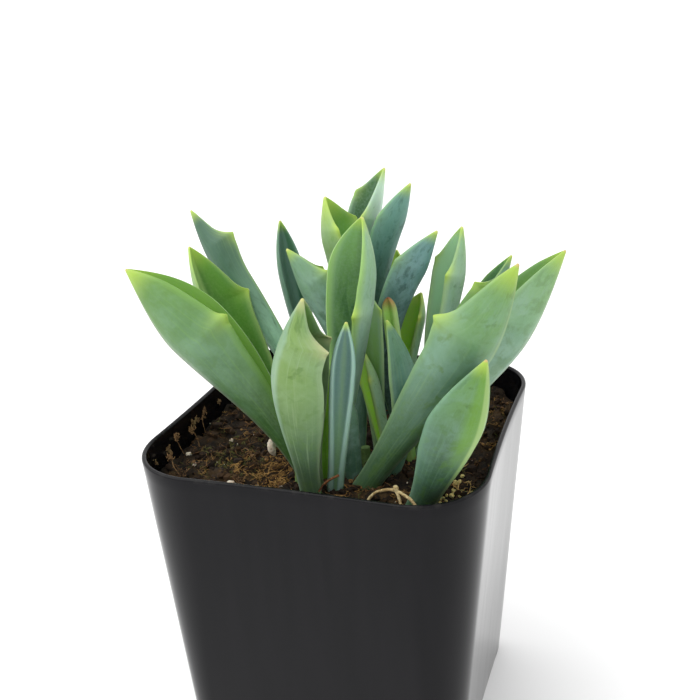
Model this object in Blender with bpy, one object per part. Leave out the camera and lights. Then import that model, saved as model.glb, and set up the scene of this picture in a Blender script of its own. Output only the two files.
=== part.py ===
"""Potted trident senecio: a square nursery pot, its soil, and a clump of folded succulent leaves.

All sizes are in millimetres until a mesh is made. +Z is up, the origin is the middle of the
pot's flat base, the pot's front wall faces -Y and its right wall faces +X.
"""

from __future__ import annotations

import math
from dataclasses import dataclass

import bmesh
import bpy
import numpy as np
from mathutils import Matrix, Vector

MM = 0.001
GAP = 0.3

POT_TOP_SIDE = 57.0
POT_BASE_SIDE = 46.3
POT_HEIGHT = 59.8
POT_WALL = 0.8
POT_FLOOR = 1.2
POT_TOP_CORNER = 12.6
POT_BASE_CORNER = 4.4
POT_TOP_PINCH = 1.0
POT_BASE_PINCH = 0.6
POT_EDGE = 0.25
DRAIN_DIAMETER = 3.8
DRAIN_OFFSET = 13.0

SOIL_LEVEL = 55.2
SOIL_RELIEF = 1.3
SOIL_SHOULDER = 0.6
SOIL_RING_SCALES = (0.985, 0.88, 0.72, 0.54, 0.34, 0.15)
SOIL_WAVE_X = 11.4
SOIL_WAVE_Y = 13.4
CLUMP_CENTRE = (8.0, -4.0)
CLUMP_RADIUS = 19.0
CLUMP_FADE = 6.0
FOOT_LEVEL = SOIL_LEVEL + GAP

LEAF_THICKNESS = 1.5
LEAF_EDGE = 0.22
LEAF_OUTER_SHARE = 0.65
LEAF_RING = 5
LEAF_STATIONS = (0.0, 0.13, 0.27, 0.41, 0.54, 0.66, 0.78, 0.88, 0.95)
LEAF_ARC_STEPS = 41
LEAF_SMOOTH_DEG = 50.0
STATION_SPACING = 0.035
TOOTH_RISE = 0.16
TOOTH_FALL = 0.07
TOOTH_DROP = 0.04
WAIST_LENGTH = 0.24
WAIST_DEPTH = 0.35
STEM_TAPER = 0.8
GRAIN_UNEVENNESS = 0.12
GRAIN_SMOOTH_DEG = 20.0
SOIL_SMOOTH_DEG = 60.0
RIM_ARC_POINTS = 7


@dataclass(frozen=True)
class Leaf:
    """One leaf: where it stands, where its tip is and how its blade is folded."""

    name: str
    foot: tuple[float, float]
    tip: tuple[float, float, float]
    width: float
    fold: float
    facing: float
    bow: float = 0.0
    teeth: tuple[float, float] = (0.8, 0.8)
    tooth: tuple[float, float] = (0.15, 0.15)
    petiole: float = 0.38
    crease: float = 0.4
    taper: float = 1.8
    widest: float | None = None

    @property
    def peak(self) -> float:
        """Share of the length at which the blade is widest."""
        return self.widest or sum(self.teeth) / 2 - 0.06


LEAVES = (
    Leaf("leaf_left_large", (-1.7, -13.8), (-30.0, -13.5, 87.5), 20.4, 70, 14, -2.4,
         (0.62, 0.70), (0.10, 0.0), 0.27, widest=0.68),
    Leaf("leaf_left_green", (-6.2, -6.0), (-25.4, -1.0, 87.9), 13.6, 50, -18, 1.2, (0.72, 0.72),
         petiole=0.34),
    Leaf("leaf_left_rear", (-1.0, -1.5), (-29.2, 8.0, 91.9), 8.8, 58, 35, -0.4, (0.83, 0.83),
         (0.42, 0.42), 0.28),
    Leaf("leaf_rear_thin", (-3.2, 3.8), (-13.0, 9.0, 90.2), 7.0, 55, -44, 3.0, (0.80, 0.80),
         (0.0, 0.0), 0.30),
    Leaf("leaf_middle_left", (3.6, -3.2), (-6.9, -3.4, 88.8), 10.5, 60, 30, -3.8, (0.83, 0.83),
         petiole=0.30),
    Leaf("leaf_rear_left_tall", (0.4, 5.2), (-2.5, 3.4, 95.7), 11.2, 52, -5, -2.2, (0.88, 0.88),
         petiole=0.22),
    Leaf("leaf_centre", (1.8, -9.2), (7.2, -8.0, 95.3), 13.4, 54, -125, 0.0, (0.80, 0.66),
         (0.0, 0.15), petiole=0.24, widest=0.76),
    Leaf("leaf_rear_top", (-2.4, 14.2), (4.5, 13.4, 98.5), 10.1, 52, -142, -3.8, (0.88, 0.82),
         petiole=0.24),
    Leaf("leaf_rear_top_right", (3.9, 10.8), (10.5, 7.3, 97.2), 8.6, 42, 165, -4.6, (0.86, 0.86),
         (0.03, 0.03), 0.22, widest=0.83),
    Leaf("leaf_rear_pale", (7.2, 16.2), (6.1, 13.4, 84.5), 7.4, 45, -95, -0.6, (0.80, 0.80),
         petiole=0.40),
    Leaf("leaf_middle_right", (9.2, 1.4), (15.8, 2.8, 90.8), 10.4, 45, 175, -5.3, (0.84, 0.84),
         (0.05, 0.05), 0.20, widest=0.82),
    Leaf("leaf_right_upright", (12.8, 1.8), (19.2, 5.0, 91.0), 9.0, 60, -138, -0.6, (0.84, 0.80),
         (0.10, 0.20), 0.18),
    Leaf("leaf_right_rear_small", (12.0, 9.0), (26.0, 11.0, 85.0), 12.4, 60, -160, -0.5, (0.60, 0.60),
         petiole=0.40),
    Leaf("leaf_right_large", (8.2, -14.4), (31.3, -17.0, 91.8), 17.6, 68, 172, 0.0, (0.83, 0.735),
         (0.16, 0.16), 0.36, 0.5, widest=0.68),
    Leaf("leaf_right_rear_large", (13.8, -3.4), (35.0, 6.0, 87.5), 18.0, 66, -162, -1.0, (0.66, 0.66),
         petiole=0.24),
    Leaf("leaf_front_right", (17.9, -19.2), (28.0, -22.0, 80.0), 15, 48, 160, 0.3, (0.66, 0.66),
         (0.0, 0.0), 0.46, 0.6),
    Leaf("leaf_front_left", (0.8, -18.3), (3.5, -23.5, 87.6), 17.8, 62, 14, 0.9, (0.83, 0.74),
         (0.46, 0.15), petiole=0.38, crease=0.7, widest=0.60),
    Leaf("leaf_front_slim", (4.0, -17.4), (8.9, -22.0, 84.0), 4.3, 45, -75, 0.0, (0.78, 0.78),
         (0.0, 0.0), 0.50, 0.9),
    Leaf("leaf_dry_tip", (12.2, -5.9), (10.0, -5.8, 82.4), 2.8, 50, -100, 0.3, (0.90, 0.90),
         (0.0, 0.0), 0.70),
    Leaf("leaf_small_blue", (10.6, -10.0), (10.7, -9.4, 80.0), 8.0, 45, 180, 2.6, (0.66, 0.66),
         (0.0, 0.0), 0.50),
    Leaf("leaf_right_green", (7.6, 7.5), (12.0, 6.5, 79.4), 6.6, 50, -125, -1.0, (0.86, 0.86),
         petiole=0.36),
    Leaf("leaf_inner_rear", (7.2, -3.9), (4.7, -2.6, 84.0), 6, 35, -70, 0.0, (0.82, 0.82),
         petiole=0.36),
    Leaf("leaf_inner_right", (9.2, -7.4), (5.2, -4.8, 73.0), 4.4, 50, -130, 0.0, (0.75, 0.75),
         petiole=0.48),
    Leaf("leaf_inner_front", (5.2, -12.6), (4.9, -12.9, 70.0), 4, 40, 150, 0.0, (0.70, 0.70),
         petiole=0.70),
    Leaf("leaf_inner_left", (1.4, -14.2), (2.4, -15.2, 76.5), 3.8, 35, -70, 0.0, (0.75, 0.75),
         petiole=0.60),
)

GRAINS = {
    "perlite_long": ((-10.3, -8.1), (3.1, 1.6, 1.3), 126.0, 52.0),
    "perlite_1": ((-24.2, -11.6), (0.9, 0.7, 0.65), 20.0, 0.0),
    "perlite_2": ((-21.6, -14.5), (0.75, 0.65, 0.55), 70.0, 0.0),
    "perlite_3": ((-19.9, -4.0), (0.8, 0.65, 0.55), 150.0, 0.0),
    "perlite_4": ((-13.1, -18.5), (1.4, 0.8, 0.7), 15.0, 0.0),
    "perlite_5": ((-4.6, -18.8), (0.8, 0.65, 0.55), 40.0, 0.0),
    "perlite_6": ((6.2, -20.6), (1.8, 1.0, 0.8), 10.0, 0.0),
    "bark_chip": ((15.7, -22.8), (1.3, 1.1, 1.05), 12.0, 0.0),
}
GRAIN_MATERIAL = {"bark_chip": "bark_chip"}
GRAIN_LIFT = 0.2

WOOD_CURL = ((10.2, -20.9, 55.7), (11.2, -20.8, 57.0), (12.4, -20.8, 57.7), (13.7, -20.9, 58.1),
             (14.9, -21.1, 58.1), (16.1, -21.5, 57.8), (17.3, -21.9, 57.3), (18.4, -22.3, 55.8))
WOOD_CURL_RADIUS = 0.28
TWIG = ((2.4, -20.2, 55.9), (3.2, -20.1, 57.2), (4.4, -20.0, 58.2), (5.6, -19.9, 58.9))
TWIG_RADIUS = 0.3
FIBRES = (
    ((-24.8, -12.0, 54.9), (-25.5, -12.2, 56.8), (-25.4, -12.8, 58.6)),
    ((-23.6, -8.6, 54.95), (-24.4, -8.2, 56.6), (-25.2, -8.4, 57.9)),
    ((-25.0, -3.6, 54.85), (-25.6, -3.2, 56.8), (-25.3, -2.4, 58.7)),
    ((-22.0, -19.0, 55.2), (-23.0, -18.6, 56.2), (-24.2, -17.4, 57.3)),
    ((-15.4, -9.6, 55.4), (-14.0, -10.4, 56.4), (-12.2, -11.8, 55.7)),
)
FIBRE_RADIUS = 0.25

STEMS = {
    "stem_front_left": ((-2.0, -17.2), 0.7, 2.2),
    "stem_middle": ((6.2, -8.6), 0.9, 2.6),
    "stem_rear": ((10.6, -1.6), 0.9, 2.6),
}

COLOURS = {
    "black_plastic": ((0.022, 0.022, 0.024), 0.38),
    "potting_mix": ((0.060, 0.035, 0.020), 0.95),
    "leaf_flesh": ((0.200, 0.370, 0.240), 0.50),
    "stem_flesh": ((0.260, 0.360, 0.180), 0.55),
    "perlite_grain": ((0.780, 0.740, 0.680), 0.90),
    "wood_fibre": ((0.420, 0.290, 0.160), 0.85),
    "bark_chip": ((0.560, 0.430, 0.340), 0.90),
}


def clear_scene() -> None:
    """Remove every object that the new file came with."""
    for obj in list(bpy.data.objects):
        bpy.data.objects.remove(obj, do_unlink=True)


def material(name: str) -> bpy.types.Material:
    """Plain Principled material of the given colour entry."""
    found = bpy.data.materials.get(name)
    if found:
        return found
    colour, roughness = COLOURS[name]
    made = bpy.data.materials.new(name)
    made.use_nodes = True
    shader = made.node_tree.nodes["Principled BSDF"]
    shader.inputs["Base Color"].default_value = (*colour, 1.0)
    shader.inputs["Roughness"].default_value = roughness
    shader.inputs["Metallic"].default_value = 0.0
    return made


def add_object(name: str, mesh_data: bmesh.types.BMesh, material_name: str,
               smooth_angle: float = 40.0) -> bpy.types.Object:
    """Turn a bmesh in millimetres into a named object in metres."""
    bmesh.ops.recalc_face_normals(mesh_data, faces=mesh_data.faces)
    bmesh.ops.scale(mesh_data, vec=(MM, MM, MM), verts=mesh_data.verts)
    mesh = bpy.data.meshes.new(name)
    mesh_data.to_mesh(mesh)
    mesh_data.free()
    mesh.materials.append(material(material_name))
    mesh.shade_smooth()
    mesh.set_sharp_from_angle(angle=math.radians(smooth_angle))
    obj = bpy.data.objects.new(name, mesh)
    bpy.context.scene.collection.objects.link(obj)
    return obj


def loft(rings: list[np.ndarray], tip: Vector | None = None) -> bmesh.types.BMesh:
    """Closed body made by extruding the first ring's face through all the others.

    The last ring stays as a flat end, or is merged to a point where a tip is given.
    """
    body = bmesh.new()
    face = body.faces.new([body.verts.new(Vector(point)) for point in rings[0]])
    for step, ring in enumerate(rings[1:]):
        grown = bmesh.ops.extrude_face_region(body, geom=[face])
        if step:
            body.faces.remove(face)
        face = next(item for item in grown["geom"] if isinstance(item, bmesh.types.BMFace))
        for vert, point in zip(face.verts, ring):
            vert.co = Vector(point)
    if tip is not None:
        bmesh.ops.pointmerge(body, verts=list(face.verts), merge_co=tip)
    return body


def rounded_square(side: float, corner: float, pinch: float, height: float,
                   scale: float = 1.0) -> np.ndarray:
    """Outline of a square with round corners and sides drawn in at their middles."""
    half = side / 2
    straight = half - corner
    points = []
    for quarter in range(4):
        turns = np.linspace(quarter, quarter + 1, RIM_ARC_POINTS) * math.pi / 2
        middle = (quarter + 0.5) * math.pi / 2
        centre = straight * math.sqrt(2) * np.array([math.cos(middle), math.sin(middle)])
        points.extend(centre + corner * np.array([math.cos(turn), math.sin(turn)]) for turn in turns)
        away = np.array([math.cos(turns[-1]), math.sin(turns[-1])])
        side_way = np.array([-away[1], away[0]])
        points.extend(half * away + straight * share * side_way for share in (-0.5, 0.0, 0.5))
    outline = np.array(points)
    draw = pinch / half
    drawn = outline * (1 - draw * (1 - (outline[:, ::-1] / half) ** 2))
    return np.column_stack([drawn * scale, np.full(len(drawn), height)])


def pot_outline(height: float, inset: float = 0.0, scale: float = 1.0) -> np.ndarray:
    """Outline of the tapered pot at a height, moved in by the inset."""
    share = height / POT_HEIGHT
    side = POT_BASE_SIDE + (POT_TOP_SIDE - POT_BASE_SIDE) * share
    corner = POT_BASE_CORNER + (POT_TOP_CORNER - POT_BASE_CORNER) * share
    pinch = POT_BASE_PINCH + (POT_TOP_PINCH - POT_BASE_PINCH) * share
    return rounded_square(side - 2 * inset, corner - inset, pinch, height, scale)


def make_pot() -> None:
    """Thin-walled square pot with a softly rounded rim and four drain holes."""
    inner_edge = POT_WALL - POT_EDGE
    rings = [
        pot_outline(0.0, POT_EDGE),
        pot_outline(POT_EDGE),
        pot_outline(POT_HEIGHT / 3),
        pot_outline(POT_HEIGHT * 2 / 3),
        pot_outline(POT_HEIGHT - POT_EDGE),
        pot_outline(POT_HEIGHT, POT_EDGE),
        pot_outline(POT_HEIGHT, inner_edge),
        pot_outline(POT_HEIGHT - POT_EDGE, POT_WALL),
        pot_outline(POT_HEIGHT * 2 / 3, POT_WALL),
        pot_outline(POT_HEIGHT / 3, POT_WALL),
        pot_outline(POT_FLOOR, POT_WALL),
    ]
    pot = add_object("pot", loft(rings), "black_plastic")

    drills = bmesh.new()
    for x in (-DRAIN_OFFSET, DRAIN_OFFSET):
        for y in (-DRAIN_OFFSET, DRAIN_OFFSET):
            drill = bmesh.ops.create_cone(drills, cap_ends=True, segments=16, radius1=DRAIN_DIAMETER / 2,
                                          radius2=DRAIN_DIAMETER / 2, depth=4 * POT_FLOOR)
            bmesh.ops.translate(drills, vec=(x, y, 0.0), verts=drill["verts"])
    cutter = add_object("drain_cutter", drills, "black_plastic")
    cutter.hide_render = True
    cutter.display_type = "WIRE"
    drain = pot.modifiers.new("drain_holes", "BOOLEAN")
    drain.operation = "DIFFERENCE"
    drain.solver = "EXACT"
    drain.object = cutter


def soil_height(x: float, y: float) -> float:
    """Height of the soil, level under the clump of leaves and uneven towards the walls."""
    away = math.hypot(x - CLUMP_CENTRE[0], y - CLUMP_CENTRE[1])
    share = min(max((away - CLUMP_RADIUS) / CLUMP_FADE, 0.0), 1.0)
    turn_x = 2 * math.pi * x / SOIL_WAVE_X
    turn_y = 2 * math.pi * y / SOIL_WAVE_Y
    waves = (2 * math.sin(turn_x) * math.sin(turn_y) + math.sin(1.6 * turn_x - 1.5 * turn_y)) / 3
    return SOIL_LEVEL - SOIL_RELIEF * share * (1 + waves) / 2


def make_soil() -> None:
    """Plug of potting mix that fills the pot, with an uneven top."""
    clear = POT_WALL + GAP
    rings = [
        pot_outline(POT_FLOOR + GAP, clear),
        pot_outline(SOIL_LEVEL / 2, clear),
        pot_outline(SOIL_LEVEL - SOIL_RELIEF - SOIL_SHOULDER, clear),
    ]
    for scale in SOIL_RING_SCALES:
        ring = pot_outline(SOIL_LEVEL - SOIL_RELIEF, clear, scale)
        ring[:, 2] = [soil_height(x, y) for x, y, _ in ring]
        rings.append(ring)
    body = loft(rings, Vector((0.0, 0.0, soil_height(0.0, 0.0))))
    add_object("soil", body, "potting_mix", SOIL_SMOOTH_DEG)


def unit(vectors: np.ndarray) -> np.ndarray:
    """Vectors scaled to length one."""
    return vectors / np.linalg.norm(vectors, axis=-1, keepdims=True)


def leaf_stations(leaf: Leaf) -> np.ndarray:
    """Shares of the length at which the blade has a ring, with a close pair at each tooth."""
    teeth = {place for tooth in set(leaf.teeth) for place in (tooth, tooth + TOOTH_DROP)}
    plain = [share for share in LEAF_STATIONS
             if all(abs(share - tooth) > STATION_SPACING for tooth in teeth)]
    return np.array(sorted(teeth | set(plain)))


def blade_width(leaf: Leaf, share: float) -> float:
    """Width of the smooth blade at a share of its length, as a part of its full width."""
    if share <= leaf.peak:
        rise = share / leaf.peak
        return leaf.petiole + (1 - leaf.petiole) * rise * rise * (3 - 2 * rise)
    return 1 - ((share - leaf.peak) / (1 - leaf.peak)) ** leaf.taper


def tooth_bulge(share: float, place: float, size: float) -> float:
    """How far a margin stands out at its tooth, as a part of the blade's width."""
    past = share - place
    if past <= 0:
        return size * max(1 + past / TOOTH_RISE, 0.0) ** 2
    waist = WAIST_DEPTH * math.sin(math.pi * min(past / WAIST_LENGTH, 1.0))
    return size * (max(1 - past / TOOTH_FALL, 0.0) ** 2 - waist)


def blade_thickness(width: float, share: float) -> float:
    """Thickness along the middle, fleshy at the foot and thin where the blade narrows."""
    return LEAF_THICKNESS * (1.1 - 0.35 * share) * (0.35 + 0.65 * width) * (1 + 0.5 * (1 - share) ** 2)


def folded_half(turn: float, crease: float, reach: np.ndarray) -> tuple[np.ndarray, np.ndarray]:
    """How far out and how far up a folded half of width one stands, at shares of its width."""
    steps = np.linspace(0, 1, LEAF_ARC_STEPS)
    angles = turn * steps ** crease
    part = 2 * (LEAF_ARC_STEPS - 1)
    out = np.concatenate([[0], np.cumsum(np.cos(angles[1:]) + np.cos(angles[:-1])) / part])
    rise = np.concatenate([[0], np.cumsum(np.sin(angles[1:]) + np.sin(angles[:-1])) / part])
    return np.interp(reach, steps, out), np.interp(reach, steps, rise)


def leaf_rings(leaf: Leaf) -> list[np.ndarray]:
    """Rings of the folded blade from its foot to just under its tip.

    Each ring is a folded arc with the leaf's thickness: its outer side first, then its inner side.
    """
    foot = np.array([*leaf.foot, FOOT_LEVEL])
    chord = np.array(leaf.tip) - foot
    facing = math.radians(leaf.facing)
    inward = np.array([math.cos(facing), math.sin(facing), 0.0])
    along = unit(chord)
    bow_way = unit(inward - inward @ along * along)
    stations = leaf_stations(leaf)
    arc = 4 * stations * (1 - stations)
    spine = foot + chord * stations[:, None] - leaf.bow * arc[:, None] * bow_way
    slope = 4 * (1 - 2 * stations)
    tangents = unit(chord - leaf.bow * slope[:, None] * bow_way)
    up = unit(inward - (tangents @ inward)[:, None] * tangents)
    across = np.cross(tangents, up)

    turn = math.radians(leaf.fold) * (1 + leaf.crease)
    turns = turn * np.interp(stations, (0, leaf.peak, 1), (1.05, 1.0, 0.8))
    places = np.linspace(-1, 1, LEAF_RING)
    reach = np.abs(places)
    which = (places > 0).astype(int)
    rings = []
    for index, share in enumerate(stations):
        width = blade_width(leaf, share)
        bulges = [tooth_bulge(share, leaf.teeth[side], leaf.tooth[side]) for side in which]
        half = leaf.width / 2 * width * (1 + np.array(bulges))
        out, rise = folded_half(turns[index], leaf.crease, reach)
        x = np.sign(places) * half * out
        z = half * rise - leaf.width / 4 * width * rise[-1]
        lean = np.sign(places) * turns[index] * reach ** leaf.crease
        normal = np.column_stack([-np.sin(lean), np.cos(lean)])
        rounding = np.sqrt(1 - (0.97 * reach) ** 2.2)
        thick = np.maximum(blade_thickness(width, share) * rounding, LEAF_EDGE)[:, None]
        middle = np.column_stack([x, z])
        outer = middle - normal * thick * LEAF_OUTER_SHARE
        inner = middle + normal * thick * (1 - LEAF_OUTER_SHARE)
        flat = np.vstack([outer, inner[::-1]])
        ring = spine[index] + flat[:, :1] * across[index] + flat[:, 1:] * up[index]
        if index == 0:
            ring += tangents[0] * ((FOOT_LEVEL - ring[:, 2]) / tangents[0][2])[:, None]
        rings.append(ring)
    return rings


def make_leaves() -> None:
    """All the leaves, each standing on the soil by its cut-square foot."""
    for leaf in LEAVES:
        add_object(leaf.name, loft(leaf_rings(leaf), Vector(leaf.tip)), "leaf_flesh", LEAF_SMOOTH_DEG)


def make_stems() -> None:
    """Short stem stubs between the leaves' feet."""
    for name, (place, radius, height) in STEMS.items():
        body = bmesh.new()
        bmesh.ops.create_cone(body, cap_ends=True, segments=10, radius1=radius, radius2=radius * STEM_TAPER,
                              depth=height)
        bmesh.ops.translate(body, vec=(*place, FOOT_LEVEL + height / 2), verts=body.verts)
        add_object(name, body, "stem_flesh")


def make_grains() -> None:
    """Perlite grains and a bark chip lying on the soil."""
    for number, (name, (place, size, turn, lean)) in enumerate(GRAINS.items()):
        body = bmesh.new()
        bmesh.ops.create_icosphere(body, subdivisions=1, radius=0.5)
        for vert in body.verts:
            vert.co *= 1 + GRAIN_UNEVENNESS * math.sin(9.0 * vert.co.x + 7.0 * vert.co.y + number)
        bmesh.ops.scale(body, vec=size, verts=body.verts)
        way = Matrix.Rotation(math.radians(turn), 3, "Z") @ Matrix.Rotation(math.radians(-lean), 3, "Y")
        bmesh.ops.rotate(body, matrix=way, verts=body.verts)
        lowest = min(vert.co.z for vert in body.verts)
        bmesh.ops.translate(body, vec=(*place, soil_height(*place) + GRAIN_LIFT - lowest), verts=body.verts)
        add_object(name, body, GRAIN_MATERIAL.get(name, "perlite_grain"), GRAIN_SMOOTH_DEG)


def tube_rings(path: tuple[tuple[float, float, float], ...], radius: float) -> list[np.ndarray]:
    """Hexagonal rings square to a path."""
    points = np.array(path)
    tangents = unit(np.gradient(points, axis=0))
    side = unit(np.cross(tangents, (0.3, 0.2, 1.0)))
    top = np.cross(side, tangents)
    turns = np.arange(6) * math.pi / 3
    return [point + radius * (np.cos(turns)[:, None] * side[index] + np.sin(turns)[:, None] * top[index])
            for index, point in enumerate(points)]


def make_fibres() -> None:
    """Wood curl, twig and root fibres that lie on the soil."""
    add_object("wood_curl", loft(tube_rings(WOOD_CURL, WOOD_CURL_RADIUS)), "wood_fibre")
    add_object("twig", loft(tube_rings(TWIG, TWIG_RADIUS)), "wood_fibre")
    for number, path in enumerate(FIBRES, 1):
        add_object(f"fibre_{number}", loft(tube_rings(path, FIBRE_RADIUS)), "wood_fibre")


def main() -> None:
    """Build every piece of the potted plant."""
    clear_scene()
    make_pot()
    make_soil()
    make_leaves()
    make_stems()
    make_grains()
    make_fibres()


main()
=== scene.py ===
"""Finish of the potted trident senecio: its leaves, pot, potting mix, litter and studio."""

from __future__ import annotations

import logging
import math
import random
from collections.abc import Sequence
from dataclasses import dataclass, field, replace
from enum import Enum

import bmesh
import bpy
import numpy as np
from mathutils import Matrix, Vector, noise


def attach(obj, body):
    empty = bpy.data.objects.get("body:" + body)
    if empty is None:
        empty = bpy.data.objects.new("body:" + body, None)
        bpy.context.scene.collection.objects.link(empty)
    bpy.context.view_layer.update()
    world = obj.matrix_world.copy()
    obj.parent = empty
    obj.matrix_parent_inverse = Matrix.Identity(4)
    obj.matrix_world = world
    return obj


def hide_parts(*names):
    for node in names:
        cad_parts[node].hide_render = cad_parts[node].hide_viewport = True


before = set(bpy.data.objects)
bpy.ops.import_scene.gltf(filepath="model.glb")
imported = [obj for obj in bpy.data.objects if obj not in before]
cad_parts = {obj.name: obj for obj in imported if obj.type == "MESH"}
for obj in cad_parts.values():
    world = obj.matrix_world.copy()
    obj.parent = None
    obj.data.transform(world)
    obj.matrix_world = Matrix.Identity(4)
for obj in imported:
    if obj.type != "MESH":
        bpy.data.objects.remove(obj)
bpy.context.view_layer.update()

MM = 0.001
BODY = "root"

Colour = tuple[float, float, float]
Point = tuple[float, float, float]
Socket = bpy.types.NodeSocket
Shape = bmesh.types.BMesh

log = logging.getLogger("senecio")


class Slot(Enum):
    """Material slots of the record."""

    PLASTIC = "black_plastic"
    MIX = "potting_mix"
    LEAF = "leaf_flesh"
    STEM = "stem_flesh"
    PERLITE = "perlite_grain"
    WOOD = "wood_fibre"
    BARK = "bark_chip"


def srgb(red: int, green: int, blue: int) -> Colour:
    """Linear colour of a display colour.

    Args:
        red: Red from 0 to 255.
        green: Green from 0 to 255.
        blue: Blue from 0 to 255.

    Returns:
        The three linear values.
    """
    parts = (value / 255 for value in (red, green, blue))
    return tuple(part / 12.92 if part <= 0.04045 else ((part + 0.055) / 1.055) ** 2.4 for part in parts)


def unit(vectors: np.ndarray) -> np.ndarray:
    """Vectors scaled to length one."""
    return vectors / np.linalg.norm(vectors, axis=-1, keepdims=True)


def smooth_step(low: float, high: float, value: float) -> float:
    """Soft rise from 0 at low to 1 at high.

    Args:
        low: Where the rise starts.
        high: Where the rise ends.
        value: The value to place on it.

    Returns:
        The height of the rise.
    """
    share = min(max((value - low) / (high - low), 0.0), 1.0)
    return share * share * (3 - 2 * share)


class Graph:
    """Shader nodes of one material, ending in its Principled shader."""

    def __init__(self, name: str) -> None:
        """Makes the material.

        Args:
            name: The material's name.
        """
        self.material = bpy.data.materials.new(name)
        self.material.use_nodes = True
        self.tree = self.material.node_tree
        self.shader = self.tree.nodes["Principled BSDF"]
        self.place = self.add("ShaderNodeTexCoord").outputs["Object"]

    def add(self, kind: str, inputs: dict[str | int, object] | None = None,
            **settings: object) -> bpy.types.Node:
        """Adds a node.

        Args:
            kind: The node's type name.
            inputs: Values or sockets for its inputs, by name or number.
            **settings: The node's own properties.

        Returns:
            The node.
        """
        node = self.tree.nodes.new(kind)
        for name, value in settings.items():
            setattr(node, name, value)
        for key, value in (inputs or {}).items():
            self.feed(node.inputs[key], value)
        return node

    def feed(self, socket: Socket, value: object) -> None:
        """Links a socket to another, or sets its value.

        Args:
            socket: The input to fill.
            value: An output socket, a number, a colour or a vector.
        """
        if isinstance(value, Socket):
            self.tree.links.new(value, socket)
        elif isinstance(value, tuple) and socket.type == "RGBA":
            socket.default_value = (*value, 1.0)
        else:
            socket.default_value = value

    def finish(self, **inputs: object) -> bpy.types.Material:
        """Fills the shader's inputs.

        Args:
            **inputs: Values or sockets, by input name with _ for a space.

        Returns:
            The material.
        """
        for name, value in inputs.items():
            self.feed(self.shader.inputs[name.replace("_", " ")], value)
        return self.material

    def attribute(self, name: str) -> Socket:
        """Value of the mesh's own attribute of that name."""
        return self.add("ShaderNodeAttribute", attribute_name=name).outputs["Fac"]

    def math(self, operation: str, first: object, second: object = 0.0) -> Socket:
        """Result of a sum on two values.

        Args:
            operation: The operation's name.
            first: First value or socket.
            second: Second value or socket.

        Returns:
            The result's socket.
        """
        return self.add("ShaderNodeMath", {0: first, 1: second}, operation=operation).outputs[0]

    def times(self, first: object, second: object) -> Socket:
        """Product of two values."""
        return self.math("MULTIPLY", first, second)

    def rise(self, value: object, low: float, high: float, start: float = 0.0, end: float = 1.0) -> Socket:
        """Soft rise of a value between two limits.

        Args:
            value: The value's socket.
            low: Where the rise starts.
            high: Where it ends.
            start: Result at the start.
            end: Result at the end.

        Returns:
            The result's socket.
        """
        node = self.add("ShaderNodeMapRange", {"Value": value, "From Min": low, "From Max": high,
                                               "To Min": start, "To Max": end},
                        interpolation_type="SMOOTHSTEP")
        return node.outputs["Result"]

    def mix(self, share: object, first: object, second: object) -> Socket:
        """Mix of two colours.

        Args:
            share: How much of the second.
            first: First colour.
            second: Second colour.

        Returns:
            The mixed colour's socket.
        """
        node = self.add("ShaderNodeMix", {0: share, 6: first, 7: second}, data_type="RGBA")
        return node.outputs[2]

    def grain(self, scale: float, detail: float = 3.0, rough: float = 0.5, twist: float = 0.0,
              where: Socket | None = None) -> Socket:
        """Cloudy noise from 0 to 1.

        Args:
            scale: Cells in a metre, or in a unit of the given place.
            detail: Number of finer layers.
            rough: Strength of the finer layers.
            twist: How far the noise is distorted.
            where: Place to read, the object's own by default.

        Returns:
            The noise's socket.
        """
        node = self.add("ShaderNodeTexNoise", {"Vector": where or self.place, "Scale": scale,
                                               "Detail": detail, "Roughness": rough, "Distortion": twist})
        return node.outputs["Fac"]

    def vector(self, x: object, y: object, z: object) -> Socket:
        """Vector of three values."""
        return self.add("ShaderNodeCombineXYZ", {"X": x, "Y": y, "Z": z}).outputs[0]

    def bump(self, height: object, depth: float, strength: float = 1.0,
             below: Socket | None = None) -> Socket:
        """Bump of a height map.

        Args:
            height: Height from 0 to 1.
            depth: Depth in metres of a height of one.
            strength: Strength of the bump.
            below: A bump that this one lies on.

        Returns:
            The normal's socket.
        """
        node = self.add("ShaderNodeBump", {"Height": height, "Distance": depth, "Strength": strength})
        if below is not None:
            self.feed(node.inputs["Normal"], below)
        return node.outputs["Normal"]


def mesh_of(name: str, body: Shape) -> bpy.types.Mesh:
    """Mesh of a shape.

    Args:
        name: The mesh's name.
        body: The shape, which is freed.

    Returns:
        The mesh.
    """
    mesh = bpy.data.meshes.new(name)
    body.to_mesh(mesh)
    body.free()
    return mesh


def put(name: str, data: bpy.types.ID) -> bpy.types.Object:
    """Puts a new object in the scene.

    Args:
        name: The object's name.
        data: The mesh, light or camera that it shows.

    Returns:
        The object.
    """
    thing = bpy.data.objects.new(name, data)
    bpy.context.scene.collection.objects.link(thing)
    return thing


def add_piece(name: str, body: Shape, finish: bpy.types.Material,
              replaces: tuple[str, ...] = (), smooth_degrees: float = 60.0) -> bpy.types.Object:
    """Makes a finished piece from a bmesh in millimetres.

    Args:
        name: The piece's name.
        body: Its shape, which is freed.
        finish: Its material.
        replaces: CAD nodes it stands for.
        smooth_degrees: Sharpest edge that is still shaded smooth.

    Returns:
        The piece.
    """
    bmesh.ops.scale(body, vec=(MM, MM, MM), verts=body.verts)
    mesh = mesh_of(name, body)
    mesh.materials.append(finish)
    mesh.shade_smooth()
    mesh.set_sharp_from_angle(angle=math.radians(smooth_degrees))
    piece = put(name, mesh)
    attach(piece, BODY)
    if replaces:
        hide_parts(*replaces)
    log.info("%s: %d faces", name, len(mesh.polygons))
    return piece


def move_face(face: bmesh.types.BMFace, ring: np.ndarray) -> None:
    """Moves a face's corners to the points of a ring."""
    for vert, point in zip(face.verts, ring):
        vert.co = Vector(point)


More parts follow.
